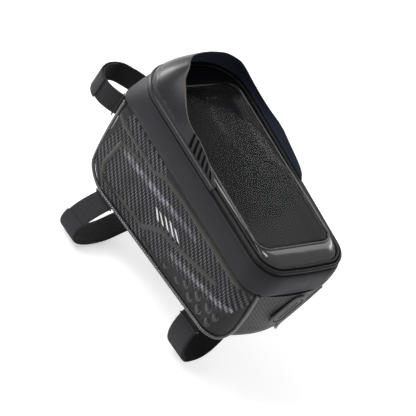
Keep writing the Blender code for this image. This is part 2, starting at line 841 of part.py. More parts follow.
def eased(low, high, value):
    t = min(1.0, max(0.0, (value - low) / (high - low)))
    return t * t * (3 - 2 * t)


def hood_rim(share):
    """(height, lean) of the hood's rim, from the wing's end at 0 to the front at 1."""
    wing = HOOD_FOOT[1] + 0.0006
    wing += (HOOD_SIDE_HEIGHT - wing) * math.sqrt(min(1.0, share / 0.24))
    rise = (HOOD_FRONT_HEIGHT - HOOD_SIDE_HEIGHT) * eased(0.33, 0.72, share)
    lean = HOOD_SIDE_LEAN * eased(0.0, 0.2, share)
    lean += (HOOD_CORNER_LEAN - HOOD_SIDE_LEAN) * eased(0.28, 0.68, share)
    lean -= (HOOD_CORNER_LEAN - HOOD_FRONT_LEAN) * eased(0.7, 1.0, share)
    return wing + rise, lean


def hood_rows(shift):
    """Rows of one of the hood's faces: a flange over the lid's piping, then the wall."""
    rows = []
    path = hood_path()
    for inset, height in HOOD_FLANGE:
        rows.append([lifted(point, normal, inset + shift, height) for point, normal, _ in path])
    for level in (0.0, 0.3, 0.6, 0.8, 1.0):
        points = []
        for point, normal, share in path:
            rim, lean = hood_rim(share)
            inset = HOOD_FOOT[0] + lean * level**1.5 + shift
            height = HOOD_FOOT[1] + (rim - HOOD_FOOT[1]) * level
            points.append(lifted(point, normal, inset, height))
        rows.append(points)
    return rows


def lifted(point, normal, inset, height):
    flat = point - normal * inset
    return Vector((flat.x, flat.y, ZIP_HEIGHT + height))


def sun_hood(finish):
    """Moulded sheet round the front of the window, with louvre grooves in its wings."""
    bm = bmesh.new()
    outer, inner = hood_rows(-HOOD_WALL / 2), hood_rows(HOOD_WALL / 2)
    grid = bridge(bm, outer + inner[::-1], closed_rows=True, closed_points=False)
    bm.faces.new([points[0] for points in grid])
    bm.faces.new([points[-1] for points in grid])
    hood = add_mesh("sun_hood", bm, finish)
    for side_name, side in SIDES.items():
        for i in range(LOUVRE_COUNT):
            boolean(hood, louvre(f"louvre_{side_name}_{i}", i, side, finish), "DIFFERENCE")
    return hood


def louvre(name, index, side, finish):
    """Cutter for one slanted groove in a wing's outer face."""
    x = HOOD_BACK + 0.0095 + index * LOUVRE_PITCH
    low = ZIP_HEIGHT + HOOD_FOOT[1] + 0.0008
    slant = 0.0045
    top = low + LOUVRE_LENGTH * min(1.0, 0.62 + 0.16 * index)
    half = LOUVRE_WIDTH / 2
    outline = [(x - half, low), (x + half, low), (x + half + slant, top), (x + half, top)]
    end = SIDE.run_at(x)
    edge = SIDE.plan(end)[0].y - BODY_OUTSET - HOOD_FOOT[0]
    outer = edge + HOOD_WALL / 2 - LOUVRE_DEPTH
    low_y, high_y = sorted((side * outer, side * (outer + 0.01)))
    return prism(name, outline, low_y, high_y, finish, "Y")


def loop_point(loop, degrees):
    """A place on a strap's inner face, as (across, up); its top is flat in the channel."""
    wide, tall, tilt, across, up, draw, shift, _ = loop
    angle = math.radians(degrees)
    lean = math.radians(tilt)
    point = turned(Vector((wide * math.cos(angle), tall * math.sin(angle))), lean)
    half = math.hypot(wide * math.sin(lean), tall * math.cos(lean))
    crest = math.degrees(math.atan2(tall * math.cos(lean), wide * math.sin(lean)))
    past = (degrees - crest + 180.0) % 360.0 - 180.0
    moved = shift * eased(-60.0, -10.0, past) * (1 - eased(20.0, 120.0, past))
    rise = max(0.0, point.y / half) ** 4
    return Vector((across + point.x + moved, min(0.0, up + point.y * (1 + draw * rise))))


def strap_path(loop):
    """Inner face of a strap that laps over its own start, as (point, outward normal)."""
    step = 360.0 / STRAP_STEPS
    turns = int(round((360.0 + TAIL_END - TAIL_START) / step))
    path = []
    for i in range(turns + 1):
        degrees = TAIL_START + i * step
        ahead = loop_point(loop, degrees + step / 2)
        along = (ahead - loop_point(loop, degrees - step / 2)).normalized()
        normal = Vector((along.y, -along.x))
        layer = STRAP_LAYER * eased(STRAP_STEPS - 4, STRAP_STEPS - 1, i)
        path.append((loop_point(loop, degrees) + normal * layer, normal))
    return path


def strap(name, loop, place, finish):
    """A webbing strap. place turns (across, up, along) into the bag's frame."""
    bm = bmesh.new()
    half = STRAP_WIDTH / 2
    sections = []
    for point, normal in strap_path(loop):
        outer = point + normal * STRAP_WALL
        sections.append(
            [
                place(point.x, point.y, -half),
                place(point.x, point.y, half),
                place(outer.x, outer.y, half),
                place(outer.x, outer.y, -half),
            ]
        )
    grid = bridge(bm, sections, closed_rows=False)
    bm.faces.new(grid[0])
    bm.faces.new(grid[-1])
    return add_mesh(name, bm, finish)


def strap_ring(name, loop, place, finish):
    """Flat plastic ring round the strap where it nears the bag."""
    degrees = loop[-1]
    point = loop_point(loop, degrees)
    along = (loop_point(loop, degrees + 6.0) - loop_point(loop, degrees - 6.0)).normalized()
    normal = Vector((along.y, -along.x))
    reach = STRAP_WIDTH / 2 + 2 * GAP + RING_BAR
    low = -2 * GAP - RING_BAR
    high = STRAP_LAYER + STRAP_WALL + 2 * GAP + RING_BAR
    path = []
    for sideways, out in ((-reach, low), (reach, low), (reach, high), (-reach, high)):
        spot = point + normal * out
        path.append(place(spot.x, spot.y, sideways))
    return tube(name, path, RING_BAR, finish, 6, cyclic=True)


def under_bag(x):
    """Places a strap under the bag, in the pad's channel at x."""
    slope = Vector((1.0, 0.0, -BOTTOM_SLOPE)).normalized()
    down = Vector((-BOTTOM_SLOPE, 0.0, -1.0)).normalized()
    depth = bottom_depth(x) + PAD_TOP_DEPTH
    origin = Vector((x, 0.0, ZIP_HEIGHT - depth)) + down * (GAP + STRAP_WALL)

    def place(across, up, along):
        return origin + Vector((0.0, across, 0.0)) - down * up + slope * along

    return place


def at_front():
    """Places the head-tube strap on the front, in its patch's channel."""
    face = front_face_x() + 2 * GAP + STRAP_WALL
    origin = Vector((face, 0.0, ZIP_HEIGHT - HEAD_STRAP_DEPTH))

    def place(across, up, along):
        return origin + Vector((-up, across, along))

    return place


def front_face_x():
    return max(point.x for points in gusset_rows() for point in points)


def channelled(length_low, length_high, channels):
    """Profile of a pad with strap channels, as (along, out) from its seat."""
    profile = [(length_low, 0.0)]
    for middle in channels:
        low = middle - STRAP_WIDTH / 2 - 2 * GAP
        high = middle + STRAP_WIDTH / 2 + 2 * GAP
        profile += [(low, 0.0), (low, CHANNEL_DEPTH), (high, CHANNEL_DEPTH), (high, 0.0)]
    profile += [(length_high, 0.0), (length_high, PAD_WALL), (length_low, PAD_WALL)]
    return profile


def pads(finish):
    """Grip pad on the bottom and patch on the front, each with channels for its straps."""
    slope = Vector((1.0, 0.0, -BOTTOM_SLOPE)).normalized()
    down = Vector((-BOTTOM_SLOPE, 0.0, -1.0)).normalized()
    seat = Vector((0.0, 0.0, ZIP_HEIGHT - BOTTOM_DEPTH - PAD_TOP_DEPTH))
    stretch = 1.0 / slope.x
    channels = [STRAP_REAR_X * stretch, STRAP_FRONT_X * stretch]
    outline = []
    for along, out in channelled(PAD_REAR * stretch, PAD_FRONT * stretch, channels):
        spot = seat + slope * along + down * out
        outline.append((spot.x, spot.z))
    prism("tube_pad", outline, -PAD_WIDTH / 2, PAD_WIDTH / 2, finish, "Y")

    face = front_face_x() + GAP
    outline = []
    half = PATCH_HEIGHT / 2
    for along, out in channelled(-half, half, [0.0]):
        outline.append((face + out, ZIP_HEIGHT - HEAD_STRAP_DEPTH + along))
    low, high = PATCH_OFFSET - PAD_WIDTH / 2, PATCH_OFFSET + PAD_WIDTH / 2
    prism("head_strap_patch", outline, low, high, finish, "Y")


def straps(finish, finish_ring):
    loops = {
        "head_tube_strap": (LOOP_HEAD, at_front()),
        "top_tube_strap_front": (LOOP_FRONT, under_bag(STRAP_FRONT_X)),
        "top_tube_strap_rear": (LOOP_REAR, under_bag(STRAP_REAR_X)),
    }
    for name, (loop, place) in loops.items():
        strap(name, loop, place, finish)
        strap_ring(name + "_ring", loop, place, finish_ring)


def base_board(finish):
    """Stiff board that lies on the gusset inside the bag."""
    low = GUSSET_DROP - GUSSET_WALL - 2 * GAP
    outline = []
    for x, drop in (
        (BOARD_REAR, low),
        (BOARD_FRONT, low),
        (BOARD_FRONT, low - BOARD_WALL),
        (BOARD_REAR, low - BOARD_WALL),
    ):
        outline.append((x, ZIP_HEIGHT - bottom_depth(x) - drop))
    prism("base_board", outline, -BOARD_WIDTH / 2, BOARD_WIDTH / 2, finish, "Y")


def hinge_strip(finish):
    """Webbing that hinges the lid to the band at the front."""
    half = FRONT_WIDTH / 2 - FRONT_CORNER
    face = HINGE_X + 0.0013 + GAP
    box(
        "lid_hinge_strip",
        (face, -half, ZIP_HEIGHT - 0.0150),
        (face + 0.0008, half, ZIP_HEIGHT - 0.0026),
        finish,
        0.0002,
    )


def right_side():
    """(point, along, outward) of the right-hand zip edge at the slider."""
    flat, normal = SIDE.plan(SIDE.run_at(SLIDER_X))
    flat = flat - normal * BODY_OUTSET
    along = Vector((SIDE.along.x, -SIDE.along.y, 0.0))
    outward = Vector((normal.x, -normal.y, 0.0))
    return Vector((flat.x, -flat.y, ZIP_HEIGHT)), along, outward


def on_zip(name, low, high, finish, bevel=0.0):
    """A block beside the zip, given as (along, outward, up) from the slider's place."""
    place, along, outward = right_side()
    made = box(name, low, high, finish, bevel)
    for vert in made.data.vertices:
        a, o, u = vert.co
        vert.co = place + along * a + outward * o + Vector((0.0, 0.0, u))
    flip_if_inside_out(made.data)
    return made


def flip_if_inside_out(mesh):
    bm = bmesh.new()
    bm.from_mesh(mesh)
    if bm.calc_volume(signed=True) < 0:
        bmesh.ops.reverse_faces(bm, faces=bm.faces)
    bm.to_mesh(mesh)
    bm.free()


def barrel(name, radius, half, finish, steps=12):
    """A round bar along the zip at the pull's hinge."""
    place, along, outward = right_side()
    middle = place + outward * PULL_OUT + Vector((0.0, 0.0, PULL_UP))
    ends = [middle - along * half, middle + along * half]
    return tube(name, ends, radius, finish, steps)


def zip_slider(finish, finish_pull):
    """Slider with its neck in the zip's groove, two lugs and a pin, and its pull tab."""
    half = SLIDER_LENGTH / 2
    outer = SLIDER_INSET + SLIDER_WALL
    low, high = (-half, SLIDER_INSET, -0.0048), (half, outer, 0.0014)
    slider = on_zip("zip_slider", low, high, finish, 0.0006)
    low, high = (-half * 0.8, -0.0009, -0.0018), (half * 0.8, SLIDER_INSET + 0.001, -0.0006)
    boolean(slider, on_zip("slider_neck", low, high, finish), "UNION")
    gap = PULL_WIDTH / 2 + GAP
    for i, side in enumerate((-1, 1)):
        start, end = sorted((side * gap, side * (gap + PULL_LUG)))
        low = (start, outer - 0.0005, PULL_UP - PULL_LUG)
        high = (end, PULL_OUT + 0.0010, PULL_UP + PULL_LUG)
        boolean(slider, on_zip(f"slider_lug_{i}", low, high, finish), "UNION")
    pin = barrel("slider_pin", PULL_PIN, gap + PULL_LUG / 2, finish, 8)
    boolean(slider, pin, "UNION")

    eye = PULL_PIN + GAP + 0.0004
    low = (-PULL_WIDTH / 2, PULL_OUT - PULL_WALL / 2, PULL_UP - PULL_LENGTH)
    high = (PULL_WIDTH / 2, PULL_OUT + PULL_WALL / 2, PULL_UP)
    pull = on_zip("zip_pull", low, high, finish_pull, 0.0003)
    knuckle = barrel("pull_knuckle", eye, PULL_WIDTH / 2 - 0.0004, finish_pull)
    boolean(pull, knuckle, "UNION")
    bore = barrel("pull_bore", PULL_PIN + GAP, PULL_WIDTH, finish_pull, 8)
    boolean(pull, bore, "DIFFERENCE")


def hang_on(axis_name, place, piece_names, carried_by=None):
    """Parents pieces to an empty on their joint's axis, and leaves them where they are."""
    axis = bpy.data.objects.new(axis_name, None)
    bpy.data.collections[PARTS].objects.link(axis)
    axis.location = place
    if carried_by:
        axis.parent = carried_by
        axis.matrix_parent_inverse = Matrix.Translation(-carried_by.location)
    for name in piece_names:
        piece = bpy.data.objects[name]
        piece.parent = axis
        piece.matrix_parent_inverse = Matrix.Translation(-Vector(place))
    return axis


def joint_axes():
    """Empties on the lid's hinge, the zip's run and the pull's pin."""
    lid_pieces = ["lid_frame", "lid_piping", "window_piping", "window_bezel", "window_film"]
    lid_pieces += ["phone_pocket", "pocket_tab", "sun_hood", "zip_tape_lid"]
    hang_on("lid_hinge_axis", (HINGE_X, 0.0, ZIP_HEIGHT - HINGE_DEPTH), lid_pieces)
    place, _, outward = right_side()
    slider_axis = hang_on("slider_axis", place, ["zip_slider"])
    pin = place + outward * PULL_OUT + Vector((0.0, 0.0, PULL_UP))
    hang_on("pull_axis", pin, ["zip_pull"], slider_axis)


def build():
    clear_scene()
    charcoal = (0.030, 0.030, 0.034)
    carbon = material("carbon_skin", (0.022, 0.022, 0.026), 0.45)
    band = material("coated_fabric", charcoal, 0.62)
    welt = material("welt_plastic", (0.010, 0.010, 0.012), 0.25)
    webbing = material("webbing", (0.022, 0.022, 0.024), 0.85)
    gloss = material("black_film", (0.006, 0.006, 0.007), 0.08)
    film = material("clear_film", (0.75, 0.78, 0.80), 0.05, alpha=0.25)
    hood = material("hood_plastic", (0.035, 0.035, 0.040), 0.48)
    rubber = material("rubber", (0.016, 0.016, 0.017), 0.6)
    lining = material("lining", (0.045, 0.045, 0.048), 0.9)
    board = material("stiffener", (0.08, 0.08, 0.085), 0.8)
    nylon = material("zip_nylon", (0.010, 0.010, 0.011), 0.5)
    metal = material("zip_metal", (0.10, 0.10, 0.11), 0.35, 0.9)

    side_panels(carbon)
    gusset(carbon)
    upper_band(band)
    welts(welt)
    zip_tapes(nylon)
    lid(band, welt, gloss, film, lining)
    sun_hood(hood)
    cable_port(rubber, rubber)
    pads(rubber)
    straps(webbing, welt)
    base_board(board)
    hinge_strip(webbing)
    zip_slider(metal, rubber)
    joint_axes()


build()
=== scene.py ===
"""Looks of the frame bag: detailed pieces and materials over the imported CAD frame."""

import math

import bmesh
import bpy
import numpy as np
from mathutils import Matrix, Vector, noise


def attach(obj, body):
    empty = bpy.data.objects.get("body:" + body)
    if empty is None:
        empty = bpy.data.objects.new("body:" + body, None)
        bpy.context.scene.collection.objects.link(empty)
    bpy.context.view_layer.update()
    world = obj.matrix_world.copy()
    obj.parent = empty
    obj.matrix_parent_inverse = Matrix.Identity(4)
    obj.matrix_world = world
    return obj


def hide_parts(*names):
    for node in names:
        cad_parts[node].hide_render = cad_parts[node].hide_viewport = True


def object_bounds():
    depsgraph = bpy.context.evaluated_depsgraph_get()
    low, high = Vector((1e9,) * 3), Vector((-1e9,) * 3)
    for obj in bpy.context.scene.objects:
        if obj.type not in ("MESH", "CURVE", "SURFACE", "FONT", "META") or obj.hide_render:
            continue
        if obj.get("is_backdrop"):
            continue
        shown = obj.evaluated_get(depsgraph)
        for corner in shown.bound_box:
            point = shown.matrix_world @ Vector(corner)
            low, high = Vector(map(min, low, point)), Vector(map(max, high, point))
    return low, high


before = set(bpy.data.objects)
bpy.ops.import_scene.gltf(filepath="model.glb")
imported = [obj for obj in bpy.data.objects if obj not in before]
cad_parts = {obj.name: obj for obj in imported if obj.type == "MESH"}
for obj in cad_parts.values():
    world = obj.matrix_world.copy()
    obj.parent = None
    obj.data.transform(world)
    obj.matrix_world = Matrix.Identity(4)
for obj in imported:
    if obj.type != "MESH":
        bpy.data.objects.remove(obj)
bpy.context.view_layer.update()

# Sizes that the CAD source also uses, in metres
ZIP_LENGTH, FRONT_WIDTH, REAR_WIDTH = 0.2072, 0.1020, 0.0885
FRONT_CORNER, REAR_CORNER = 0.0356, 0.0219
FRONT_BULGE, REAR_BULGE, APEX_RADIUS = 0.0033, 0.0018, 0.25
BODY_OUTSET, BODY_FRONT_CORNER = 0.0007, 0.0140
BAND_HEIGHT, SIDE_TAPER, TAPER_DEPTH = 0.0257, 0.0080, 0.0743
BOTTOM_DEPTH, BOTTOM_SLOPE = 0.1020, 0.128
PANEL_WALL, GUSSET_WALL = 0.0030, 0.0018
GUSSET_REAR_BULGE, GUSSET_FRONT, GAP = 0.0039, 0.1066, 0.0003
WRAP_REAR_TOP, WRAP_REAR_BOTTOM = 0.0220, 0.0335
WRAP_FRONT_TOP, WRAP_FRONT_BOTTOM = 0.0010, 0.0095
PANEL_REAR_RADIUS, PANEL_FRONT_RADIUS = 0.0140, 0.0280
WELT_RADIUS, WELT_INSET = 0.0015, 0.0004
WINDOW = (0.1610, 0.0752, 0.0110, -0.0015)
POCKET = (0.1650, 0.0778, 0.0120, -0.0015)
HOOD_BACK, HOOD_WALL = -0.0200, 0.0008
HOOD_FLANGE = [(-0.00015, 0.0000), (-0.00015, 0.0016), (0.0008, 0.0030)]
HOOD_FOOT = (0.0019, 0.0034)
HOOD_FRONT_HEIGHT, HOOD_SIDE_HEIGHT = 0.0310, 0.0152
HOOD_FRONT_LEAN, HOOD_CORNER_LEAN, HOOD_SIDE_LEAN = 0.0135, 0.0185, 0.0020
STRAP_WIDTH, STRAP_WALL, STRAP_LAYER, STRAP_STEPS = 0.0220, 0.0015, 0.0019, 36
PAD_WALL, PAD_WIDTH, CHANNEL_DEPTH = 0.0046, 0.0180, 0.0024
PAD_FRONT, PAD_REAR = 0.0790, -0.0900
STRAP_FRONT_X, STRAP_REAR_X = 0.0660, -0.0610
HEAD_STRAP_DEPTH, PATCH_HEIGHT, PATCH_OFFSET = 0.0560, 0.0360, 0.0050
LOOP_FRONT = (0.0405, 0.0185, -20.0, 0.0200, -0.0191, 0.25, 0.0, 75.0)
LOOP_REAR = (0.0180, 0.0243, 9.0, 0.0079, -0.0284, 0.95, -0.0080, 20.0)
LOOP_HEAD = (0.0215, 0.0168, -35.0, 0.0169, -0.0185, 0.85, -0.0070, 80.0)
TAIL_START, TAIL_END = -60.0, 32.0
PORT_LENGTH, PORT_WIDTH = 0.0360, 0.0160
PORT_TILT, PORT_OFFSET, PORT_DEPTH = -20.0, -0.0060, 0.0455
GUSSET_DROP = 2 * WELT_RADIUS - WELT_INSET
PAD_TOP_DEPTH = GUSSET_DROP + 1.5 * GAP
ZIP_HEIGHT = BOTTOM_DEPTH + PAD_TOP_DEPTH + PAD_WALL
CORNER_STEPS, APEX_STEPS = 18, 6
PANEL_TOP = BAND_HEIGHT + GAP

# Sizes of the looks alone
PANEL_ROWS, PANEL_COLUMNS, PANEL_TUCK = 100, 250, 0.0026
SLEEVE_FLOOR, SLEEVE_WALL = -0.0063, 0.0010
FILM_HEIGHT, FILM_WALL = 0.0042, 0.0006
HOOD_WING, LOUVRE_FRONT = 0.062, 0.034
SKY_LIGHT, FLOOR_GLOW = 0.42, 0.5


def mm(table):
    """A table of entries in millimetres, in metres."""
    return [tuple(value / 1000 for value in entry) for entry in table]


# Outlines


def turned(vector, angle):
    c, s = math.cos(angle), math.sin(angle)
    return Vector((c * vector.x - s * vector.y, s * vector.x + c * vector.y))


def eased(low, high, value):
    """Smooth step from 0 at low to 1 at high."""
    t = min(1.0, max(0.0, (value - low) / (high - low)))
    return t * t * (3 - 2 * t)


def raised(flat, height, side=1):
    return Vector((flat.x, side * flat.y, ZIP_HEIGHT + height))


def fillet(before, corner, after, radius, steps):
    """Arc that rounds a convex corner, as (point, outward normal)."""
    back = (before - corner).normalized()
    ahead = (after - corner).normalized()
    half = back.angle(ahead) / 2
    middle = corner + (back + ahead).normalized() * (radius / math.sin(half))
    start = corner + back * (radius / math.tan(half)) - middle
    end = corner + ahead * (radius / math.tan(half)) - middle
    first, turn = math.atan2(start.y, start.x), start.angle_signed(end)
    normals = [turned(Vector((1.0, 0.0)), first - turn * i / steps) for i in range(steps + 1)]
    return [(middle + normal * radius, normal) for normal in normals]


def spread(first, last, count):
    """Entries evenly between two (point, normal) entries."""
    shares = [i / (count + 1) for i in range(1, count + 1)]
    return [(first[0].lerp(last[0], t), first[1].lerp(last[1], t).normalized()) for t in shares]


def rounded_loop(corners, straight_steps=14):
    """Closed outline through (x, y, radius, steps) corners, with points on its straights too."""
    points = [Vector(corner[:2]) for corner in corners]
    arcs = []
    for i, (_, _, radius, steps) in enumerate(corners):
        arcs.append(fillet(points[i - 1], points[i], points[(i + 1) % len(points)], radius, steps))
    loop = []
    for arc, after in zip(arcs, arcs[1:] + arcs[:1]):
        loop += arc + spread(arc[-1], after[0], straight_steps)
    return loop


def ended_loop(x, half_width, radius, bulge):
    """Outline from a rear to a front end, each with a slight apex; the pairs are (rear, front)."""
    rear, front = zip(x, half_width, radius, (CORNER_STEPS, CORNER_STEPS))
    left = [(end[0], -end[1], *end[2:]) for end in (rear, front)]
    apexes = [(x[0] - bulge[0], 0.0, APEX_RADIUS, APEX_STEPS), (x[1] + bulge[1], 0.0, APEX_RADIUS, APEX_STEPS)]
    return rounded_loop([apexes[0], *left, apexes[1], front, rear])


def plan_loop(front_corner=FRONT_CORNER):
    x = (-ZIP_LENGTH / 2, ZIP_LENGTH / 2)
    return ended_loop(x, (REAR_WIDTH / 2, FRONT_WIDTH / 2), (REAR_CORNER, front_corner), (REAR_BULGE, FRONT_BULGE))


def box_loop(length, width, radius, middle, grow=0.0):
    """A rounded rectangle with as many points, in the same order, as the plan loop."""
    x, y = length / 2 + grow, width / 2 + grow
    return ended_loop((middle - x, middle + x), (y, y), (radius + grow, radius + grow), (1e-5, 1e-5))


def row(loop, inset, height):
    return [raised(point - normal * inset, height) for point, normal in loop]


def lengths_along(points):
    lengths = [0.0]
    for a, b in zip(points, points[1:]):
        lengths.append(lengths[-1] + (b - a).length)
    return lengths


class Side:
    """The left face of the lower body, addressed by run, forward along it, and depth."""

    def __init__(self):
        end = ZIP_LENGTH / 2
        rear, front = Vector((-end, REAR_WIDTH / 2)), Vector((end, FRONT_WIDTH / 2))
        self.along = (front - rear).normalized()
        self.normal = Vector((-self.along.y, self.along.x))
        back = (Vector((-end - REAR_BULGE, 0.0)) - rear).angle(self.along)
        ahead = (Vector((end + FRONT_BULGE, 0.0)) - front).angle(-self.along)
        self.start = rear + self.along * (REAR_CORNER / math.tan(back / 2))
        finish = front - self.along * (BODY_FRONT_CORNER / math.tan(ahead / 2))
        self.length = (finish - self.start).length
        self.rear = (self.start - self.normal * REAR_CORNER, REAR_CORNER + BODY_OUTSET)
        self.front = (finish - self.normal * BODY_FRONT_CORNER, BODY_FRONT_CORNER + BODY_OUTSET)

    def plan(self, run):
        if 0.0 <= run <= self.length:
            return self.start + self.along * run + self.normal * BODY_OUTSET, self.normal
        middle, radius = self.rear if run < 0.0 else self.front
        past = run if run < 0.0 else run - self.length
        normal = turned(self.normal, -past / radius)
        return middle + normal * radius, normal

    def taper(self, depth):
        return SIDE_TAPER * max(0.0, depth - BAND_HEIGHT) / TAPER_DEPTH

    def point(self, run, depth, inset=0.0, side=1):
        flat, normal = self.plan(run)
        return raised(flat - normal * (inset + self.taper(depth)), -depth, side)

    def stretch(self, run, depth):
        if 0.0 <= run <= self.length:
            return 1.0
        radius = (self.rear if run < 0.0 else self.front)[1]
        return radius / (radius - self.taper(depth))


SIDE = Side()


def bottom_depth(x):
    return BOTTOM_DEPTH + BOTTOM_SLOPE * x


def panel_corners():
    rear, front = -WRAP_REAR_BOTTOM, SIDE.length + WRAP_FRONT_BOTTOM
    lower = [Vector((run, -bottom_depth(SIDE.start.x + run))) for run in (rear, front)]
    top = Vector((SIDE.length + WRAP_FRONT_TOP, -PANEL_TOP))
    return [Vector((-WRAP_REAR_TOP, -PANEL_TOP)), *lower, top]


CORNERS = panel_corners()


def panel_edge():
    """Edge of a side panel as (run, depth, outward run, outward depth), finely spaced."""
    rear_arc = fillet(*CORNERS[:3], PANEL_REAR_RADIUS, 16)
    front_arc = fillet(*CORNERS[1:], PANEL_FRONT_RADIUS, 22)
    first = (CORNERS[0], rear_arc[0][1])
    last = (CORNERS[3], front_arc[-1][1])
    spaced = [first, *spread(first, rear_arc[0], 22), *rear_arc]
    spaced += spread(rear_arc[-1], front_arc[0], 60)
    spaced += [*front_arc, *spread(front_arc[-1], last, 16), last]
    return [(point.x, -point.y, normal.x, -normal.y) for point, normal in spaced]


EDGE = panel_edge()


def edge_point(entry, outward, inset, side=1):
    run, depth, out_run, out_depth = entry
    run += out_run * outward * SIDE.stretch(run, depth)
    return SIDE.point(run, depth + out_depth * outward, inset, side)


def edge_rows(places, side):
    """Rows along a panel's edge, one for each (outward, inset)."""
    return [[edge_point(entry, outward, inset, side) for entry in EDGE] for outward, inset in places]


# Meshes


def finish_piece(name, mesh, mats, replaced, body):
    for mat in mats if isinstance(mats, list) else [mats]:
        mesh.materials.append(mat)
    obj = bpy.data.objects.new(name, mesh)
    bpy.context.scene.collection.objects.link(obj)
    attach(obj, body)
    if replaced:
        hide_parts(replaced)
    return obj


def grid_mesh(name, rows, mats, replaced=None, body="shell", loops="", caps=(),
              values=None, uv=None, sharp=None, face_slot=None):
    """A smooth surface through rows of points, with a UV in metres and named point values."""
    count, size = len(rows), len(rows[0])
    if uv is None:
        us = lengths_along(rows[0] + rows[0][:1])
        vs = lengths_along([points[0] for points in rows + rows[:1]])
    faces, places, slots = [], [], []
    for i in range(count if "rows" in loops else count - 1):
        k = (i + 1) % count
        for j in range(size if "points" in loops else size - 1):
            m = (j + 1) % size
            faces.append((i * size + j, i * size + m, k * size + m, k * size + j))
            slots.append(face_slot(i, j) if face_slot else 0)
            if uv is None:
                places += [(us[j], vs[i]), (us[j + 1], vs[i]), (us[j + 1], vs[i + 1]), (us[j], vs[i + 1])]
            else:
                places += [uv[i][j], uv[i][m], uv[k][m], uv[k][j]]
    for i in caps:
        faces.append(tuple(i * size + j for j in range(size)))
        slots.append(0)
        places += [(us[j], vs[i]) if uv is None else uv[i][j] for j in range(size)]
    mesh = bpy.data.meshes.new(name)
    mesh.from_pydata([p for points in rows for p in points], [], faces)
    mesh.uv_layers.new(name="metres")
    mesh.uv_layers["metres"].data.foreach_set("uv", np.array(places, np.float32).ravel())
    for key, grid in (values or {}).items():
        attribute = mesh.attributes.new(key, "FLOAT", "POINT")
        attribute.data.foreach_set("value", np.array(grid, np.float32).ravel())
    mesh.polygons.foreach_set("material_index", slots)
    mesh.shade_smooth()
    bm = bmesh.new()
    bm.from_mesh(mesh)
    bmesh.ops.recalc_face_normals(bm, faces=bm.faces)
    bm.to_mesh(mesh)
    bm.free()
    if sharp:
        mesh.set_sharp_from_angle(angle=math.radians(sharp))
    return finish_piece(name, mesh, mats, replaced, body)


def ring(name, profile, mat, replaced=None, body="shell", loop=None):
    """A ring round the bag whose section runs through (inset, height) pairs."""
    rows = [row(loop or plan_loop(), inset, height) for inset, height in profile]
    return grid_mesh(name, rows, mat, replaced, body, "rows points")


def tube(name, path, radius, mat, replaced=None, body="shell", closed=False, sides=12):
    """A cord along a path, its section carried without twist."""
    count = len(path)
    angles = [2 * math.pi * k / sides for k in range(sides)]
    rows = []
    a = None
    for i, point in enumerate(path):
        ahead = path[(i + 1) % count] if closed else path[min(i + 1, count - 1)]
        behind = path[i - 1] if closed or i else path[0]
        along = (ahead - behind).normalized()
        a = a or along.orthogonal().normalized()
        a = (a - along * a.dot(along)).normalized()
        b = along.cross(a).normalized()
        rows.append([point + (a * math.cos(t) + b * math.sin(t)) * radius for t in angles])
    loops, caps = ("rows points", ()) if closed else ("points", (0, count - 1))
    return grid_mesh(name, rows, mat, replaced, body, loops, caps)


def drawn_out(name, outline, reach, mat, replaced, body, bevel):
    """An outline drawn out by a vector, with its edges rounded."""
    bm = bmesh.new()
    low = [bm.verts.new(point) for point in outline]
    high = [bm.verts.new(Vector(point) + Vector(reach)) for point in outline]
    for j in range(len(outline)):
        k = (j + 1) % len(outline)
        bm.faces.new((low[j], low[k], high[k], high[j]))
    bm.faces.new(low)
    bm.faces.new(high)
    bmesh.ops.recalc_face_normals(bm, faces=bm.faces)
    edges = [e for e in bm.edges if e.is_manifold and e.calc_face_angle(0) > 0.3]
    bmesh.ops.bevel(bm, geom=edges, offset=bevel, segments=3, profile=0.5, affect="EDGES")
    return solid_piece(name, bm, mat, replaced, body)


def solid_piece(name, bm, mat, replaced=None, body="shell"):
    for face in bm.faces:
        face.smooth = True
    mesh = bpy.data.meshes.new(name)
    bm.to_mesh(mesh)
    bm.free()
    mesh.set_sharp_from_angle(angle=math.radians(40))
    return finish_piece(name, mesh, mat, replaced, body)


def face_out(obj, outward):
    """Turns the faces of an open piece so that most of them look outward."""
    if sum(outward(p) * p.area for p in obj.data.polygons) < 0:
        obj.data.flip_normals()


# Materials


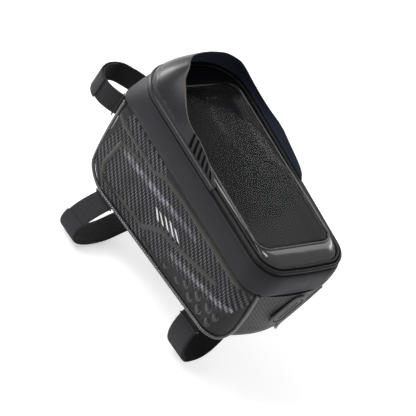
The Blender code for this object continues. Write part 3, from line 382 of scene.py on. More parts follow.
class Nodes:
    """Short names for building a Principled material's node tree."""

    def __init__(self, name, rough, base=(0.02, 0.02, 0.022), level=0.5, metallic=0.0):
        self.mat = bpy.data.materials.new(name)
        self.mat.use_nodes = True
        self.tree = self.mat.node_tree
        self.shader = self.tree.nodes["Principled BSDF"]
        self.set(Base_Color=base, Roughness=rough, Metallic=metallic, Specular_IOR_Level=level)

    def feed(self, node, inputs):
        for key, value in inputs.items():
            socket = node.inputs[key]
            if hasattr(value, "is_output"):
                self.tree.links.new(value, socket)
            else:
                socket.default_value = (*value, 1.0) if socket.type == "RGBA" else value

    def set(self, **sockets):
        self.feed(self.shader, {key.replace("_", " "): value for key, value in sockets.items()})

    def add(self, kind, inputs=(), output=0, **options):
        node = self.tree.nodes.new("ShaderNode" + kind)
        for key, value in options.items():
            setattr(node, key, value)
        self.feed(node, dict(inputs))
        return node.outputs[output]

    def math(self, operation, a, b=0.0, c=0.0):
        return self.add("Math", {0: a, 1: b, 2: c}, operation=operation)

    def times(self, a, b):
        return self.math("MULTIPLY", a, b)

    def mix(self, factor, a, b):
        return self.add("Mix", {0: factor, 6: a, 7: b}, 2, data_type="RGBA")

    def lerp(self, factor, a, b):
        return self.add("Mix", {0: factor, 2: a, 3: b})

    def parts(self, vector):
        return self.add("SeparateXYZ", {0: vector}).node.outputs

    def uv(self):
        return self.parts(self.add("UVMap", uv_map="metres"))[:2]

    def place(self):
        return self.add("TexCoord", output="Object")

    def value(self, name):
        return self.add("Attribute", output="Fac", attribute_name=name)

    def noise(self, scale, detail=2.0, rough=0.55, stretch=None):
        place = self.place()
        if stretch:
            place = self.add("Mapping", {0: place, 3: stretch})
        inputs = {"Vector": place, "Scale": scale, "Detail": detail, "Roughness": rough}
        return self.add("TexNoise", inputs)

    def range(self, value, low, high, to_low, to_high):
        return self.add("MapRange", {0: value, 1: low, 2: high, 3: to_low, 4: to_high})

    def wave(self, value, period):
        """0 to 1 to 0 over each period."""
        turn = self.math("MULTIPLY_ADD", value, 2 * math.pi / period)
        return self.math("MULTIPLY_ADD", self.math("SINE", turn), 0.5, 0.5)

    def twill(self, u, v, size):
        """2 by 2 twill: (1 where the warp is on top, rounded height of the tow)."""
        cells = [self.math("FLOOR", self.math("DIVIDE", value, size)) for value in (u, v)]
        warp = self.math("LESS_THAN", self.math("FLOORED_MODULO", self.math("ADD", *cells), 4.0), 1.5)
        humps = []
        for value in (u, v):
            across = self.math("FRACT", self.math("DIVIDE", value, size))
            humps.append(self.math("SINE", self.times(across, math.pi)))
        return warp, self.lerp(warp, humps[1], humps[0])

    def bump(self, height, distance, strength=1.0):
        inputs = {"Height": height, "Distance": distance, "Strength": strength}
        normal = self.shader.inputs["Normal"]
        if normal.is_linked:
            inputs["Normal"] = normal.links[0].from_socket
        self.set(Normal=self.add("Bump", inputs))


def lighter(color, factor, more=0.0):
    return tuple(c * factor + more for c in color)


def carbon_material(name):
    """Moulded carbon-look film: twill tows, satin ribs and smooth corners, with painted highlights along two
    creases and painted highlight arcs round the domes.
    """
    n = Nodes(name, 0.34, level=0.08)
    warp, height = n.twill(*n.uv(), 0.00185)
    plain, rib = n.value("plain"), n.value("rib")
    weave = n.times(warp, n.math("POWER", height, 3.6))
    tow = n.times(weave, n.range(n.noise(55.0, 4.0), 0.35, 0.65, 0.5, 1.0))
    dark = n.mix(n.noise(9.0), (0.0030, 0.0030, 0.0036), (0.0060, 0.0060, 0.0068))
    woven = n.mix(tow, dark, (0.235, 0.235, 0.262))
    smooth = n.mix(n.noise(30.0, 3.0), (0.014, 0.014, 0.0145), (0.024, 0.0235, 0.023))
    satin = n.mix(n.noise(45.0, 3.0), (0.040, 0.039, 0.036), (0.070, 0.067, 0.061))
    color = n.mix(plain, woven, n.mix(rib, smooth, satin))
    # Painted highlight: pale arcs round the rear side of the domes' rims
    color = n.mix(n.value("arc"), color, (0.165, 0.160, 0.152))
    # Painted highlight: a pale lilac band along each crease, brightest on the warp tows
    edge = n.times(n.value("painted_crease_highlight"), n.range(n.noise(260.0), 0.38, 0.6, 0.25, 1.0))
    glint = n.times(edge, n.math("MULTIPLY_ADD", warp, 0.8, 0.2))
    color = n.mix(glint, color, (0.370, 0.362, 0.425))
    worn = n.lerp(plain, n.range(height, 0.0, 1.0, 0.60, 0.36), n.lerp(rib, 0.44, 0.30))
    relief = n.times(n.times(height, n.lerp(warp, 0.55, 1.0)), n.math("SUBTRACT", 1.0, plain))
    n.bump(relief, 0.00035)
    n.bump(n.noise(900.0), 0.00004)
    n.set(Base_Color=color, Roughness=worn, Coat_Weight=0.10, Coat_Roughness=0.10)
    return n.mat


def ribbed_material():
    """The gusset's fabric: fine carbon-look weave with darker cords down it."""
    n = Nodes("gusset_weave", 0.45, level=0.24)
    u, v = n.uv()
    warp, height = n.twill(u, v, 0.0009)
    lines = n.math("POWER", n.wave(v, 0.0043), 10.0)
    color = n.mix(n.times(warp, height), (0.020, 0.020, 0.021), (0.075, 0.075, 0.078))
    color = n.mix(n.times(lines, 0.85), color, (0.006, 0.006, 0.006))
    color = n.mix(n.range(n.noise(22.0, 3.0), 0.4, 0.7, 0.0, 0.35), color, (0.075, 0.073, 0.070))
    n.bump(n.math("SUBTRACT", 1.0, lines), 0.0003)
    n.bump(height, 0.00012)
    n.set(Base_Color=color)
    return n.mat


def coated_material(name, base, rough, grain=1400.0, depth=0.00005, wear=0.25, level=0.18):
    """Coated fabric: a tight grain, slight mottling, and paler where it has been rubbed."""
    n = Nodes(name, rough, base, level)
    mottled = n.range(n.noise(14.0, 4.0), 0.3, 0.7, 0.86, 1.16)
    streaks = n.range(n.noise(26.0, 4.0, stretch=(0.35, 1.0, 6.0)), 0.52, 0.75, 0.0, wear)
    color = n.mix(streaks, base, lighter(base, 1.5, 0.004))
    color = n.add("VectorMath", {0: color, 3: mottled}, operation="SCALE")
    worn = n.range(n.noise(60.0, 3.0), 0.3, 0.7, rough - 0.06, rough + 0.07)
    n.bump(n.noise(grain), depth)
    n.bump(n.noise(45.0, 3.0), 0.00018, 0.6)
    n.set(Base_Color=color, Roughness=worn)
    return n.mat


def welt_material():
    """Glossy cord cover with the windings of the cord showing through, and painted lilac highlights on the crests
    of the windings.
    """
    base = (0.008, 0.008, 0.009)
    n = Nodes("welt_gloss", 0.22, base)
    u, v = n.uv()
    wound = n.wave(n.math("ADD", v, n.times(u, 0.6)), 0.0024)
    # Painted highlight: lilac dashes on the crests of the windings, broken up by noise
    mask = n.times(n.math("POWER", wound, 3.0), n.range(n.noise(330.0, 3.0), 0.45, 0.62, 0.0, 1.0))
    n.bump(wound, 0.0003)
    n.set(Base_Color=n.mix(mask, base, (0.16, 0.15, 0.20)), Roughness=n.range(mask, 0.0, 1.0, 0.16, 0.42))
    n.set(Coat_Weight=0.5, Coat_Roughness=0.12)
    return n.mat


def webbing_material(name, base, light, fuzz=0.00012, ribs=0.0011):
    """Hook-and-loop webbing: woven ribs along it, a fuzz of loops and worn lighter threads."""
    n = Nodes(name, 0.85, base, 0.13)
    warp, height = n.twill(*n.uv(), ribs * 0.5)
    tufts = n.noise(1900.0, 3.0, 0.7)
    color = n.mix(n.range(tufts, 0.42, 0.68, 0.0, 0.8), base, light)
    color = n.mix(n.times(n.times(warp, height), 0.5), color, light)
    n.bump(height, 0.00022)
    n.bump(tufts, fuzz)
    n.set(Base_Color=color, Sheen_Weight=0.12, Sheen_Roughness=0.5)
    return n.mat


def gloss_material(name, base, rough, scratches=False):
    """Moulded glossy film with faint waves and hairline scratches."""
    n = Nodes(name, rough, base, 0.25)
    worn = n.range(n.noise(38.0, 4.0), 0.3, 0.75, rough * 0.7, rough * 1.7)
    n.bump(n.noise(24.0, stretch=(1.0, 0.35, 1.0)), 0.00022)
    if scratches:
        n.bump(n.noise(700.0, stretch=(1.0, 0.03, 1.0)), 0.00001)
    n.set(Base_Color=n.mix(n.noise(20.0), base, lighter(base, 1.7)), Roughness=worn)
    n.set(Coat_Weight=0.4, Coat_Roughness=0.04)
    return n.mat


def film_material():
    """Clear touch film, with a faint haze and slow waves."""
    n = Nodes("touch_film", 0.14, (0.008, 0.0085, 0.0095), 0.3)
    n.bump(n.noise(9.0, 1.0), 0.00004)
    n.set(Alpha=n.range(n.noise(60.0, 4.0), 0.4, 0.7, 0.20, 0.24))
    return n.mat


def hood_material(name, rough, level, low, high):
    """Moulded sheet, painted near black in its louvres as shade in the slots, with a paler cut edge."""
    n = Nodes(name, rough, low, level)
    # Painted shade: the shallow louvre grooves are coloured near black as if deep and shaded
    color = n.mix(n.value("groove"), n.mix(n.noise(18.0, 3.0), low, high), (0.0015, 0.0015, 0.0018))
    color = n.mix(n.value("edge"), color, (0.135, 0.115, 0.095))
    worn = n.range(n.noise(80.0, 3.0), 0.3, 0.7, rough - 0.04, rough + 0.06)
    n.bump(n.noise(1100.0), 0.00003)
    n.set(Base_Color=color, Roughness=n.lerp(n.value("groove"), worn, 0.8))
    return n.mat


def rubber_material(name, base, rough, ribs=0.0, level=0.5):
    n = Nodes(name, rough, base, level)
    worn = n.range(n.noise(90.0, 3.0), 0.3, 0.7, rough - 0.1, rough + 0.12)
    if ribs:
        parts = n.parts(n.place())
        n.bump(n.math("POWER", n.wave(n.math("ADD", parts[0], parts[2]), ribs), 2.0), 0.0005)
    n.bump(n.noise(1500.0), 0.00004)
    n.set(Base_Color=n.mix(n.noise(40.0, 4.0), base, lighter(base, 1.8)), Roughness=worn)
    return n.mat


def lining_material(name, base, light):
    """Plain woven lining."""
    n = Nodes(name, 0.8, base, 0.2)
    parts = n.parts(n.place())
    threads = [n.wave(n.math("ADD", parts[k], parts[2]), 0.0011) for k in (0, 1)]
    weave = n.times(*threads)
    faded = n.range(n.noise(25.0, 4.0), 0.4, 0.7, 0.0, 0.5)
    n.bump(weave, 0.00006)
    n.bump(n.noise(30.0, 3.0), 0.0002, 0.7)
    n.set(Base_Color=n.mix(faded, n.mix(weave, base, light), base))
    return n.mat


def zip_material():
    base = (0.0025, 0.0025, 0.0030)
    n = Nodes("zip_nylon_tape", 0.65, base, 0.2)
    teeth = n.wave(n.uv()[0], 0.0013)
    n.bump(teeth, 0.00025)
    n.bump(n.noise(900.0), 0.00004)
    n.set(Base_Color=n.mix(teeth, base, lighter(base, 2.0, 0.002)))
    return n.mat


def metal_material():
    n = Nodes("slider_metal", 0.3, (0.09, 0.09, 0.095), metallic=0.9)
    worn = n.range(n.noise(240.0, 4.0), 0.52, 0.7, 0.0, 1.0)
    n.bump(n.noise(500.0), 0.00003)
    n.set(Base_Color=n.mix(worn, (0.05, 0.05, 0.055), (0.32, 0.31, 0.30)))
    n.set(Roughness=n.range(n.noise(150.0, 3.0), 0.3, 0.7, 0.24, 0.42))
    return n.mat


def mark_material():
    """Reflective print: tiny glass beads."""
    n = Nodes("reflective_print", 0.35, (0.62, 0.62, 0.64))
    beads = n.noise(2600.0)
    n.bump(beads, 0.00003)
    n.set(Base_Color=n.mix(n.range(beads, 0.35, 0.65, 0.0, 1.0), (0.60, 0.60, 0.62), (0.92, 0.92, 0.93)))
    return n.mat


CARBON = carbon_material("carbon_film")
RIBBED = ribbed_material()
DOME = gloss_material("dome_gloss", (0.0045, 0.0045, 0.0055), 0.13)
BAND = coated_material("band_coating", (0.0160, 0.0160, 0.0200), 0.50)
PIPING = coated_material("piping_cover", (0.0050, 0.0050, 0.0060), 0.32, 1800.0, 0.00003, 0.4)
WELT = welt_material()
STRAP_OUT = webbing_material("strap_loops", (0.018, 0.018, 0.020), (0.050, 0.050, 0.056))
STRAP_IN = webbing_material("strap_hooks", (0.004, 0.004, 0.0045), (0.011, 0.011, 0.012), 0.0002, 0.0016)
BEZEL = gloss_material("window_gloss", (0.005, 0.005, 0.006), 0.10, True)
LIP = gloss_material("window_lip", (0.010, 0.010, 0.011), 0.14)
FILM = film_material()
HOOD = hood_material("hood_sheet", 0.29, 0.25, (0.011, 0.011, 0.0135), (0.0145, 0.0142, 0.0170))
# Inside of the hood: a bluish dark sheet, made paler as painted light against the shade under the hood
HOOD_IN = hood_material("hood_inside", 0.5, 0.06, (0.040, 0.048, 0.070), (0.052, 0.063, 0.092))
# Painted shade: near-black sheet for the louvre grooves, standing in for the shade in the slots
LOUVRE = rubber_material("louvre_groove", (0.0012, 0.0012, 0.0014), 0.8, level=0.05)
RUBBER = rubber_material("port_rubber", (0.016, 0.016, 0.0172), 0.36)
GRIP = rubber_material("grip_rubber", (0.012, 0.012, 0.0125), 0.6, 0.0036)
RING_PLASTIC = gloss_material("ring_plastic", (0.006, 0.006, 0.007), 0.30)
SLEEVE = coated_material("sleeve_lining", (0.014, 0.014, 0.016), 0.75, 1400.0, 0.000003, 0.3, 0.04)
LINING = lining_material("body_lining", (0.030, 0.030, 0.033), (0.075, 0.075, 0.080))
BINDING = coated_material("binding_tape", (0.012, 0.012, 0.013), 0.7, 900.0, 0.00008)
BOARD = lining_material("board_cover", (0.028, 0.028, 0.030), (0.060, 0.060, 0.064))
ZIP = zip_material()
METAL = metal_material()
PULL = rubber_material("pull_rubber", (0.014, 0.014, 0.015), 0.5)
MARKS = mark_material()

# Side panels: lines as (x, depth) in millimetres
RIB_UPPER = [(94, 34.5), (92, 36), (81, 41.5), (63, 41.5), (32, 40.8), (19.5, 33.5), (-11, 30.2), (-90, 29.0)]
RIB_CONTOUR = [(75, 57), (78, 76), (80.5, 89), (77, 96.5), (74, 99.5), (65, 99), (42, 94.5), (26, 91.5)]
RIB_CONTOUR += [(15, 90), (7, 80.5), (-4, 71.5), (-15, 69), (-33, 63), (-54.5, 55.5), (-72, 49)]
RIB_CONTOUR_TOP = [(75, 57), (62, 51), (50, 49.5)]
RIB_LOWER = [(7.5, 96.5), (-2, 97.5), (-26, 95.5), (-56, 92.5), (-84, 88.5)]
RIBS = [(RIB_UPPER, 2.3, 0.9), (RIB_CONTOUR, 2.3, 1.0), (RIB_CONTOUR_TOP, 1.8, 0.5), (RIB_LOWER, 2.0, 0.75)]
CREASE_FRONT = [(73, 60), (52, 57), (30, 53.5), (12, 50), (-6, 46.5), (-34, 42)]
CREASE_REAR = [(-14, 80), (-30, 75.5), (-48, 69.5), (-72, 62.5), (-97, 55)]
FRONT_LINE = [(80, 27), (84, 49), (90, 70), (95, 90), (97, 112)]
DOMES = [(-23, 91, 0.6), (-40, 87.5, 0.75), (-49, 80.5, 0.85), (-58, 85.5, 0.95), (-64, 75.5, 1.0)]
DOMES += [(-71, 84, 1.0), (-78, 72.5, 1.05), (-85, 83, 1.05), (-89, 72, 1.0)]
DASHES = [((12.6, 62.0), (4.9, 69.0)), ((7.3, 61.2), (-1.8, 66.8)), ((0.8, 58.6), (-8.3, 64.9))]
DASHES += [((-5.6, 56.5), (-15.4, 63.5)), ((-13.2, 56.2), (-22.3, 61.8))]
DASH_REACH = 1.55


def smooth(low, high, value):
    """The smooth step for arrays."""
    t = np.clip((value - low) / (high - low), 0, 1)
    return t * t * (3 - 2 * t)


def polyline_distance(points, x, y):
    """Distance from arrays x, y to a polyline, and how far along it the nearest place is, 0 to 1."""
    best, share = np.full(np.shape(x), 1e9), np.zeros(np.shape(x))
    lengths = [math.dist(a, b) for a, b in zip(points, points[1:])]
    done = 0.0
    for (ax, ay), (bx, by), length in zip(points, points[1:], lengths):
        t = np.clip(((x - ax) * (bx - ax) + (y - ay) * (by - ay)) / length**2, 0, 1)
        away = np.hypot(x - ax - t * (bx - ax), y - ay - t * (by - ay))
        share = np.where(away < best, (done + t * length) / sum(lengths), share)
        best = np.minimum(best, away)
        done += length
    return best, share


def run_limits(share):
    """Runs at which the panel's outline is cut by a share of the way down, from rear to front."""
    arcs = fillet(*CORNERS[:3], PANEL_REAR_RADIUS, 24) + fillet(*CORNERS[1:], PANEL_FRONT_RADIUS, 30)
    outline = [CORNERS[0], *[point for point, _ in arcs], CORNERS[3]]
    share = min(max(share, 1e-6), 0.9999)
    shares = [(-p.y - PANEL_TOP) / (bottom_depth(SIDE.start.x + p.x) - PANEL_TOP) for p in outline]
    runs = []
    for a, b, s, t in zip(outline, outline[1:], shares, shares[1:]):
        if min(s, t) - 1e-9 <= share <= max(s, t) + 1e-9 and abs(t - s) > 1e-9:
            runs.append(a.x + (b.x - a.x) * (share - s) / (t - s))
    return min(runs), max(runs)


def panel_place(share, columns):
    """Runs and depths across the panel, a share of the way down."""
    low, high = run_limits(share)
    run = low + (high - low) * np.array(columns)
    return run, PANEL_TOP + (bottom_depth(SIDE.start.x + run) - PANEL_TOP) * share


def panel_relief(x, d):
    """Height over the panel's plain face, in millimetres, and its masks, at arrays x and depth."""
    height, plain, dome_mask, arc = [np.zeros_like(x) for _ in range(4)]
    for line, wide, tall in RIBS:
        away, _ = polyline_distance(line, x, d)
        height = np.maximum(height, tall * (1 - smooth(wide * 0.35, wide * 1.15, away)))
        plain = np.maximum(plain, 1 - smooth(wide * 0.85, wide * 1.05, away))
    rib = plain.copy()
    strip = 1 - smooth(-0.3, 0.3, d - np.interp(x, [-90, -11, 19.5, 24], [29.0, 30.2, 33.5, 26.0]))
    plain = np.maximum(plain, strip)
    # Two creases where the faces between the ribs meet, each with a painted highlight along it
    away, share = polyline_distance(CREASE_FRONT, x, d)
    fade = np.sin(np.pi * np.clip(share * 0.96 + 0.02, 0, 1)) ** 0.6
    height += 0.75 * fade * np.clip(1 - away / 9.0, 0, 1) ** 1.2
    painted_crease_highlight = (1 - smooth(1.1, 3.4, away - 0.9 * fade)) * (1 - 0.55 * smooth(0.55, 0.95, share))
    painted_crease_highlight *= smooth(0.0, 0.12, share)
    away, share = polyline_distance(CREASE_REAR, x, d)
    fade = np.sin(np.pi * np.clip(share * 0.96 + 0.02, 0, 1)) ** 0.5
    height += 0.8 * fade * np.clip(1 - away / 8.0, 0, 1) ** 1.2
    rear = (1 - smooth(0.8, 2.8, away - 0.8)) * smooth(0.0, 0.18, share) * (0.55 + 0.45 * share)
    painted_crease_highlight = np.maximum(painted_crease_highlight, rear)
    # Domes in shallow dishes, each with a painted highlight arc on the rear side of its rim
    for cx, cd, size in DOMES:
        radius = 3.7 * size
        r = np.hypot(x - cx, d - cd) / radius
        dome = np.sqrt(np.clip(1 - (r / 0.86) ** 2, 0, 1)) * 1.15 * size
        dish = -0.35 * np.exp(-(((r - 0.95) / 0.13) ** 2))
        rim = 0.22 * np.exp(-(((r - 1.2) / 0.12) ** 2))
        height = np.where(r < 1.35, height + dome + dish + rim, height)
        plain = np.maximum(plain, 1 - smooth(1.25, 1.5, r))
        dome_mask = np.maximum(dome_mask, 1 - smooth(0.80, 0.92, r))
        # Painted highlight: a pale arc on the rear side of each dome's rim
        turned_rear = np.clip((cx - x) / radius * 0.8 + (d - cd) / radius * 0.5, 0, 1)
        arc = np.maximum(arc, np.exp(-(((r - 1.13) / 0.10) ** 2)) * turned_rear)
    # Smooth front and rear corners
    past = x - np.interp(d, [p[1] for p in FRONT_LINE], [p[0] for p in FRONT_LINE])
    front = smooth(-0.4, 0.6, past)
    height += 0.35 * smooth(-1.2, 1.0, past)
    corner = smooth(-0.5, 1.0, (-(x + 92.0) * 0.75 + (d - 66.0) * 0.35) - 2.0)
    tail = smooth(-0.6, 0.8, d - np.interp(x, [-100, -50, 0, 12], [58, 77, 91, 96]))
    for mask in (front, corner, tail * smooth(-14.0, -20.0, x) * 0.9):
        plain = np.maximum(plain, mask)
    painted_crease_highlight *= 1 - 0.8 * front
    return height, {"plain": plain, "painted_crease_highlight": painted_crease_highlight, "rib": rib * (1 - tail), "dome": dome_mask, "arc": arc}


def edge_drop(run, depth):
    """How far the panel's face rolls in near its edge, in metres."""
    to_bottom = bottom_depth(SIDE.start.x + run) - depth
    nearest = np.minimum(np.minimum(run - run[0], run[-1] - run), to_bottom)
    drop = 0.0011 * (1 - smooth(0.0, 0.0026, nearest))
    return drop + 0.0009 * (1 - smooth(0.0, 0.0020, depth - PANEL_TOP))


def side_panel(name, side):
    steps = [i / PANEL_ROWS for i in range(PANEL_ROWS + 1)]
    shares = [math.sin(0.5 * math.pi * t) * 0.35 + 0.65 * t for t in steps]
    steps = [j / PANEL_COLUMNS for j in range(PANEL_COLUMNS + 1)]
    columns = [t - 0.035 * math.sin(4 * math.pi * t) / (4 * math.pi) for t in steps]
    places = [panel_place(share, columns) for share in shares]
    drops = np.array([edge_drop(*place) for place in places])
    runs, depths = [np.array(grid) for grid in zip(*places)]
    height, values = panel_relief((SIDE.start.x + runs * SIDE.along.x) * 1000, depths * 1000)
    lift = height / 1000 * np.clip(1 - drops / 0.0008, 0, 1) - drops
    # One more row and column on each side turn the edges in
    runs, depths = np.pad(runs, 1, "edge"), np.pad(depths, 1, "edge")
    lift = np.pad(lift, 1, constant_values=-PANEL_TUCK)
    # At the front the tucked column comes just before the edge
    lift[:, [-2, -1]] = lift[:, [-1, -2]]
    values = {key: np.pad(grid, 1, "edge") for key, grid in values.items()}
    rows = [[SIDE.point(*at, side) for at in zip(*line)] for line in zip(runs, depths, -lift)]
    skin = grid_mesh(f"panel_skin_{name}", rows, [CARBON, DOME], f"side_panel_{name}",
                     values=values, uv=np.dstack((runs, depths)),
                     face_slot=lambda i, j: int(values["dome"][i][j] > 0.4))
    face_out(skin, lambda p: p.normal.y * side)
    inner = []
    for share in np.linspace(0.0, 0.985, 14):
        places = zip(*panel_place(share, np.linspace(0.004, 0.996, 60)))
        inner.append([SIDE.point(*at, PANEL_WALL, side) for at in places])
    lining = grid_mesh(f"panel_lining_{name}", inner, LINING)
    face_out(lining, lambda p: -p.normal.y * side)
    dashes(name, side)


def dashes(name, side):
    bm = bmesh.new()
    for start, end in DASHES:
        grid = []
        for t in np.linspace(0, 1, 9):
            spots = []
            for s in (-1.0, -0.33, 0.33, 1.0):
                spot = Vector(start).lerp(Vector(end), t) + Vector((DASH_REACH * s, 0.0))
                height, _ = panel_relief(np.array([spot.x]), np.array([spot.y]))
                run = (spot.x / 1000 - SIDE.start.x) / SIDE.along.x
                lift = height[0] / 1000 + 0.00012
                spots.append(bm.verts.new(SIDE.point(run, spot.y / 1000, -lift, side)))
            grid.append(spots)
        for here, there in zip(grid, grid[1:]):
            for j in range(3):
                bm.faces.new((here[j], here[j + 1], there[j + 1], there[j]))
    made = solid_piece(f"reflective_dashes_{name}", bm, MARKS)
    face_out(made, lambda p: p.normal.y * side)


for name, side in (("left", 1), ("right", -1)):
    side_panel(name, side)


# Gusset, welts, band


def gusset_rows(wall=0.0, across=33):
    rows = []
    for entry in EDGE:
        _, _, out_run, out_depth = entry
        tucked = 1.0 - max(0.0, -out_run) ** 2
        outward = (2 * WELT_RADIUS + 3.5 * GAP) * (1 - tucked) + GUSSET_DROP * tucked
        left = edge_point(entry, outward, GAP * (1 - tucked) + 2 * WELT_RADIUS * tucked)
        reach, power = (GUSSET_FRONT - left.x, 3.0) if out_run > 0 else (GUSSET_REAR_BULGE, 2.2)
        points = []
        for i in range(across):
            t = i / (across - 1)
            v = 0.5 * math.sin(math.pi * (0.5 - t)) + 0.5 * (1 - 2 * t)
            swell = reach * out_run**2 * (1 - abs(v) ** power) - wall
            points.append(Vector((left.x + out_run * swell, left.y * v, left.z - out_depth * swell)))
        rows.append(points)
    for point in rows[0] + rows[-1]:
        point.z = ZIP_HEIGHT - PANEL_TOP
    return rows


def gusset():
    outer, inside = gusset_rows(), gusset_rows(GUSSET_WALL)
    # The welt's groove hides each edge, which turns in
    for points in outer:
        for end, inner in ((0, 1), (-1, -2)):
            points[end] = points[end] - (points[end] - points[inner]).normalized() * 0.0002
    lengths = lengths_along([points[len(points) // 2] for points in outer])
    uv = [[(length, p.y) for p in points] for length, points in zip(lengths, outer)]
    skin = grid_mesh("gusset_skin", outer, RIBBED, "gusset", uv=uv)
    lining = grid_mesh("gusset_lining", inside, LINING)
    # Binding tape over the seams inside, from each panel's lining to the gusset's
    seam = [(-0.0045, PANEL_WALL + 0.0001), (-0.0005, PANEL_WALL + 0.0008), (0.0020, PANEL_WALL + 0.0014)]
    for name, side, end in (("left", 1, 2), ("right", -1, -3)):
        tape = [*edge_rows(seam, side), [points[end] for points in inside]]
        grid_mesh(f"seam_tape_{name}", tape, BINDING)
    face_out(skin, lambda p: p.center.x * p.normal.x)
    face_out(lining, lambda p: -p.center.x * p.normal.x)


gusset()

for name, side in (("left", 1), ("right", -1)):
    path = edge_rows([(WELT_RADIUS + 2 * GAP, WELT_INSET)], side)[0]
    path[0].z = path[-1].z = ZIP_HEIGHT - BAND_HEIGHT - 3 * GAP
    tube(f"welt_cord_{name}", path, WELT_RADIUS, WELT, f"welt_{name}")
    # Flat flange of the piping, between the cord and the panel
    flange = edge_rows(mm([(0.1, 0.9), (0.6, 0.3), (1.1, 1.2)]), side)
    grid_mesh(f"welt_flange_{name}", flange, PIPING)


def band_share(depth):
    """How far the band has passed from the lid's outline to the body's."""
    return min(1.0, max(0.0, (depth - 0.004) / (BAND_HEIGHT - 0.004))) ** 1.3


def band_row(inset, depth, swell):
    points = []
    low, high = plan_loop(BODY_FRONT_CORNER), plan_loop()
    for top, bottom, (_, normal) in zip(row(high, inset, -depth), row(low, inset, -depth), high):
        point = top.lerp(bottom, band_share(depth))
        crease = noise.noise(Vector((point.x * 22, point.y * 22, point.z * 95)))
        crease *= 1.0 if point.x < -0.075 else 0.45
        points.append(point + Vector((normal.x, normal.y, 0)) * (0.35 * swell * crease))
    return points


# Inset, depth and how much it creases
BAND_SECTION = [(2.1, 25.85, 0), (0.4, 25.75, 0), (-0.4, 25.2, 0.3), (-0.85, 24, 1), (-1.1, 21.5, 1)]
BAND_SECTION += [(-1.3, 18, 1), (-1.4, 14.5, 1), (-1.3, 11, 1), (-1.1, 8, 1), (-0.75, 5.8, 1), (-0.35, 4.3, 0.5)]
BAND_SECTION += [(0.2, 3.2, 0.2), (0.7, 2.7, 0), (1.4, 2.6, 0), (2.1, 2.8, 0), (2.4, 3.4, 0), (1.6, 6.5, 0)]
BAND_SECTION += [(1.1, 14, 0), (1.5, 20, 0), (1.9, 25, 0)]
rows = [band_row(*entry) for entry in mm(BAND_SECTION)]
grid_mesh("upper_band_cover", rows, BAND, "upper_band", loops="rows points")
seam = mm([(1.2, -25), (1.2, -25.8), (8, -27), (8.3, -26.6), (8, -26.2)])
ring("band_seam_tape", seam, BINDING, loop=plan_loop(BODY_FRONT_CORNER))

# Zip
body_tape = [(1.3, -1.8), (1.3, -2.2), (2, -2.35), (3, -2.3), (3, -11)]
body_tape += [(3.6, -11), (3.6, -2), (3, -1.75), (2.2, -1.9)]
ring("zip_tape_lower", mm(body_tape), ZIP, "zip_tape_body")
lid_tape = [(1.3, -0.9), (1.3, -1.3), (2.2, -1.55), (3.4, -1.4)]
lid_tape += [(5.6, -1.45), (5.6, -0.85), (3.4, -0.85), (2.2, -1.1)]
ring("zip_tape_upper", mm(lid_tape), ZIP, "zip_tape_lid", "lid")

# Lid
for name, inset, height, radius, sides in (("lid", 2.1, 1.0, 1.5, 16), ("window", 5.0, 2.5, 1.0, 14)):
    angles = [2 * math.pi * i / sides for i in range(sides)]
    section = mm([(inset + radius * math.cos(angle), height + radius * math.sin(angle)) for angle in angles])
    ring(f"{name}_edge_piping", section, PIPING, f"{name}_piping", "lid")

OUTLINE, OPENING = plan_loop(), box_loop(*WINDOW)


def slope_rows(foot, head, steps):
    """Rows from the lid's outline up to the window, for each (share of the way, share of the rise)."""
    rows = []
    for share, rise in steps:
        points = []
        for start, end in zip(row(OUTLINE, *foot), row(OPENING, *head)):
            point = start.lerp(end, share)
            point.z = start.z + (end.z - start.z) * rise
            points.append(point)
        rows.append(points)
    return rows


steps = [(0.0, 0.0), (0.06, 0.16), (0.16, 0.36), (0.3, 0.56)]
steps += [(0.46, 0.74), (0.64, 0.88), (0.8, 0.95), (0.93, 0.985)]
rows = [row(OUTLINE, 0.0064, 0.0015), row(OUTLINE, 0.0062, 0.0019)]
rows += slope_rows((0.0063, 0.0023), (0.0, 0.0042), steps)
rows += [row(OPENING, 0.0001, 0.00415), row(OPENING, 0.0001, 0.0034)]
rows += slope_rows((0.0065, 0.0015), (0.0, 0.0034), [(0.64, 0.88), (0.3, 0.55), (0.0, 0.0)])
grid_mesh("window_bezel_gloss", rows, BEZEL, "window_bezel", "lid", "rows points")
# Lip: the welded edge of the film, a thin raised bead with a groove inside it
lip = mm([(-1.3, 4.0), (-1.2, 4.6), (-0.6, 5.0), (0.2, 5.0), (0.8, 4.6), (0.9, 4.1)])
grid_mesh("window_lip", [row(OPENING, *place) for place in lip], LIP, None, "lid", "rows points")


def drawn_in(loop, inset, share, middle):
    """The loop drawn towards a middle on the x axis."""
    return [(point - normal * inset).lerp(Vector((middle, 0.0)), share) for point, normal in loop]


FILM_INSET = 0.0003
rows = [row(OPENING, FILM_INSET, height) for height in (FILM_HEIGHT - FILM_WALL, FILM_HEIGHT)]
for share in (0.03, 0.1, 0.25, 0.5, 0.75, 0.97):
    rows.append([raised(flat, FILM_HEIGHT) for flat in drawn_in(OPENING, FILM_INSET, share, WINDOW[3])])
grid_mesh("window_touch_film", rows, FILM, "window_film", "lid", "points", (0, len(rows) - 1))


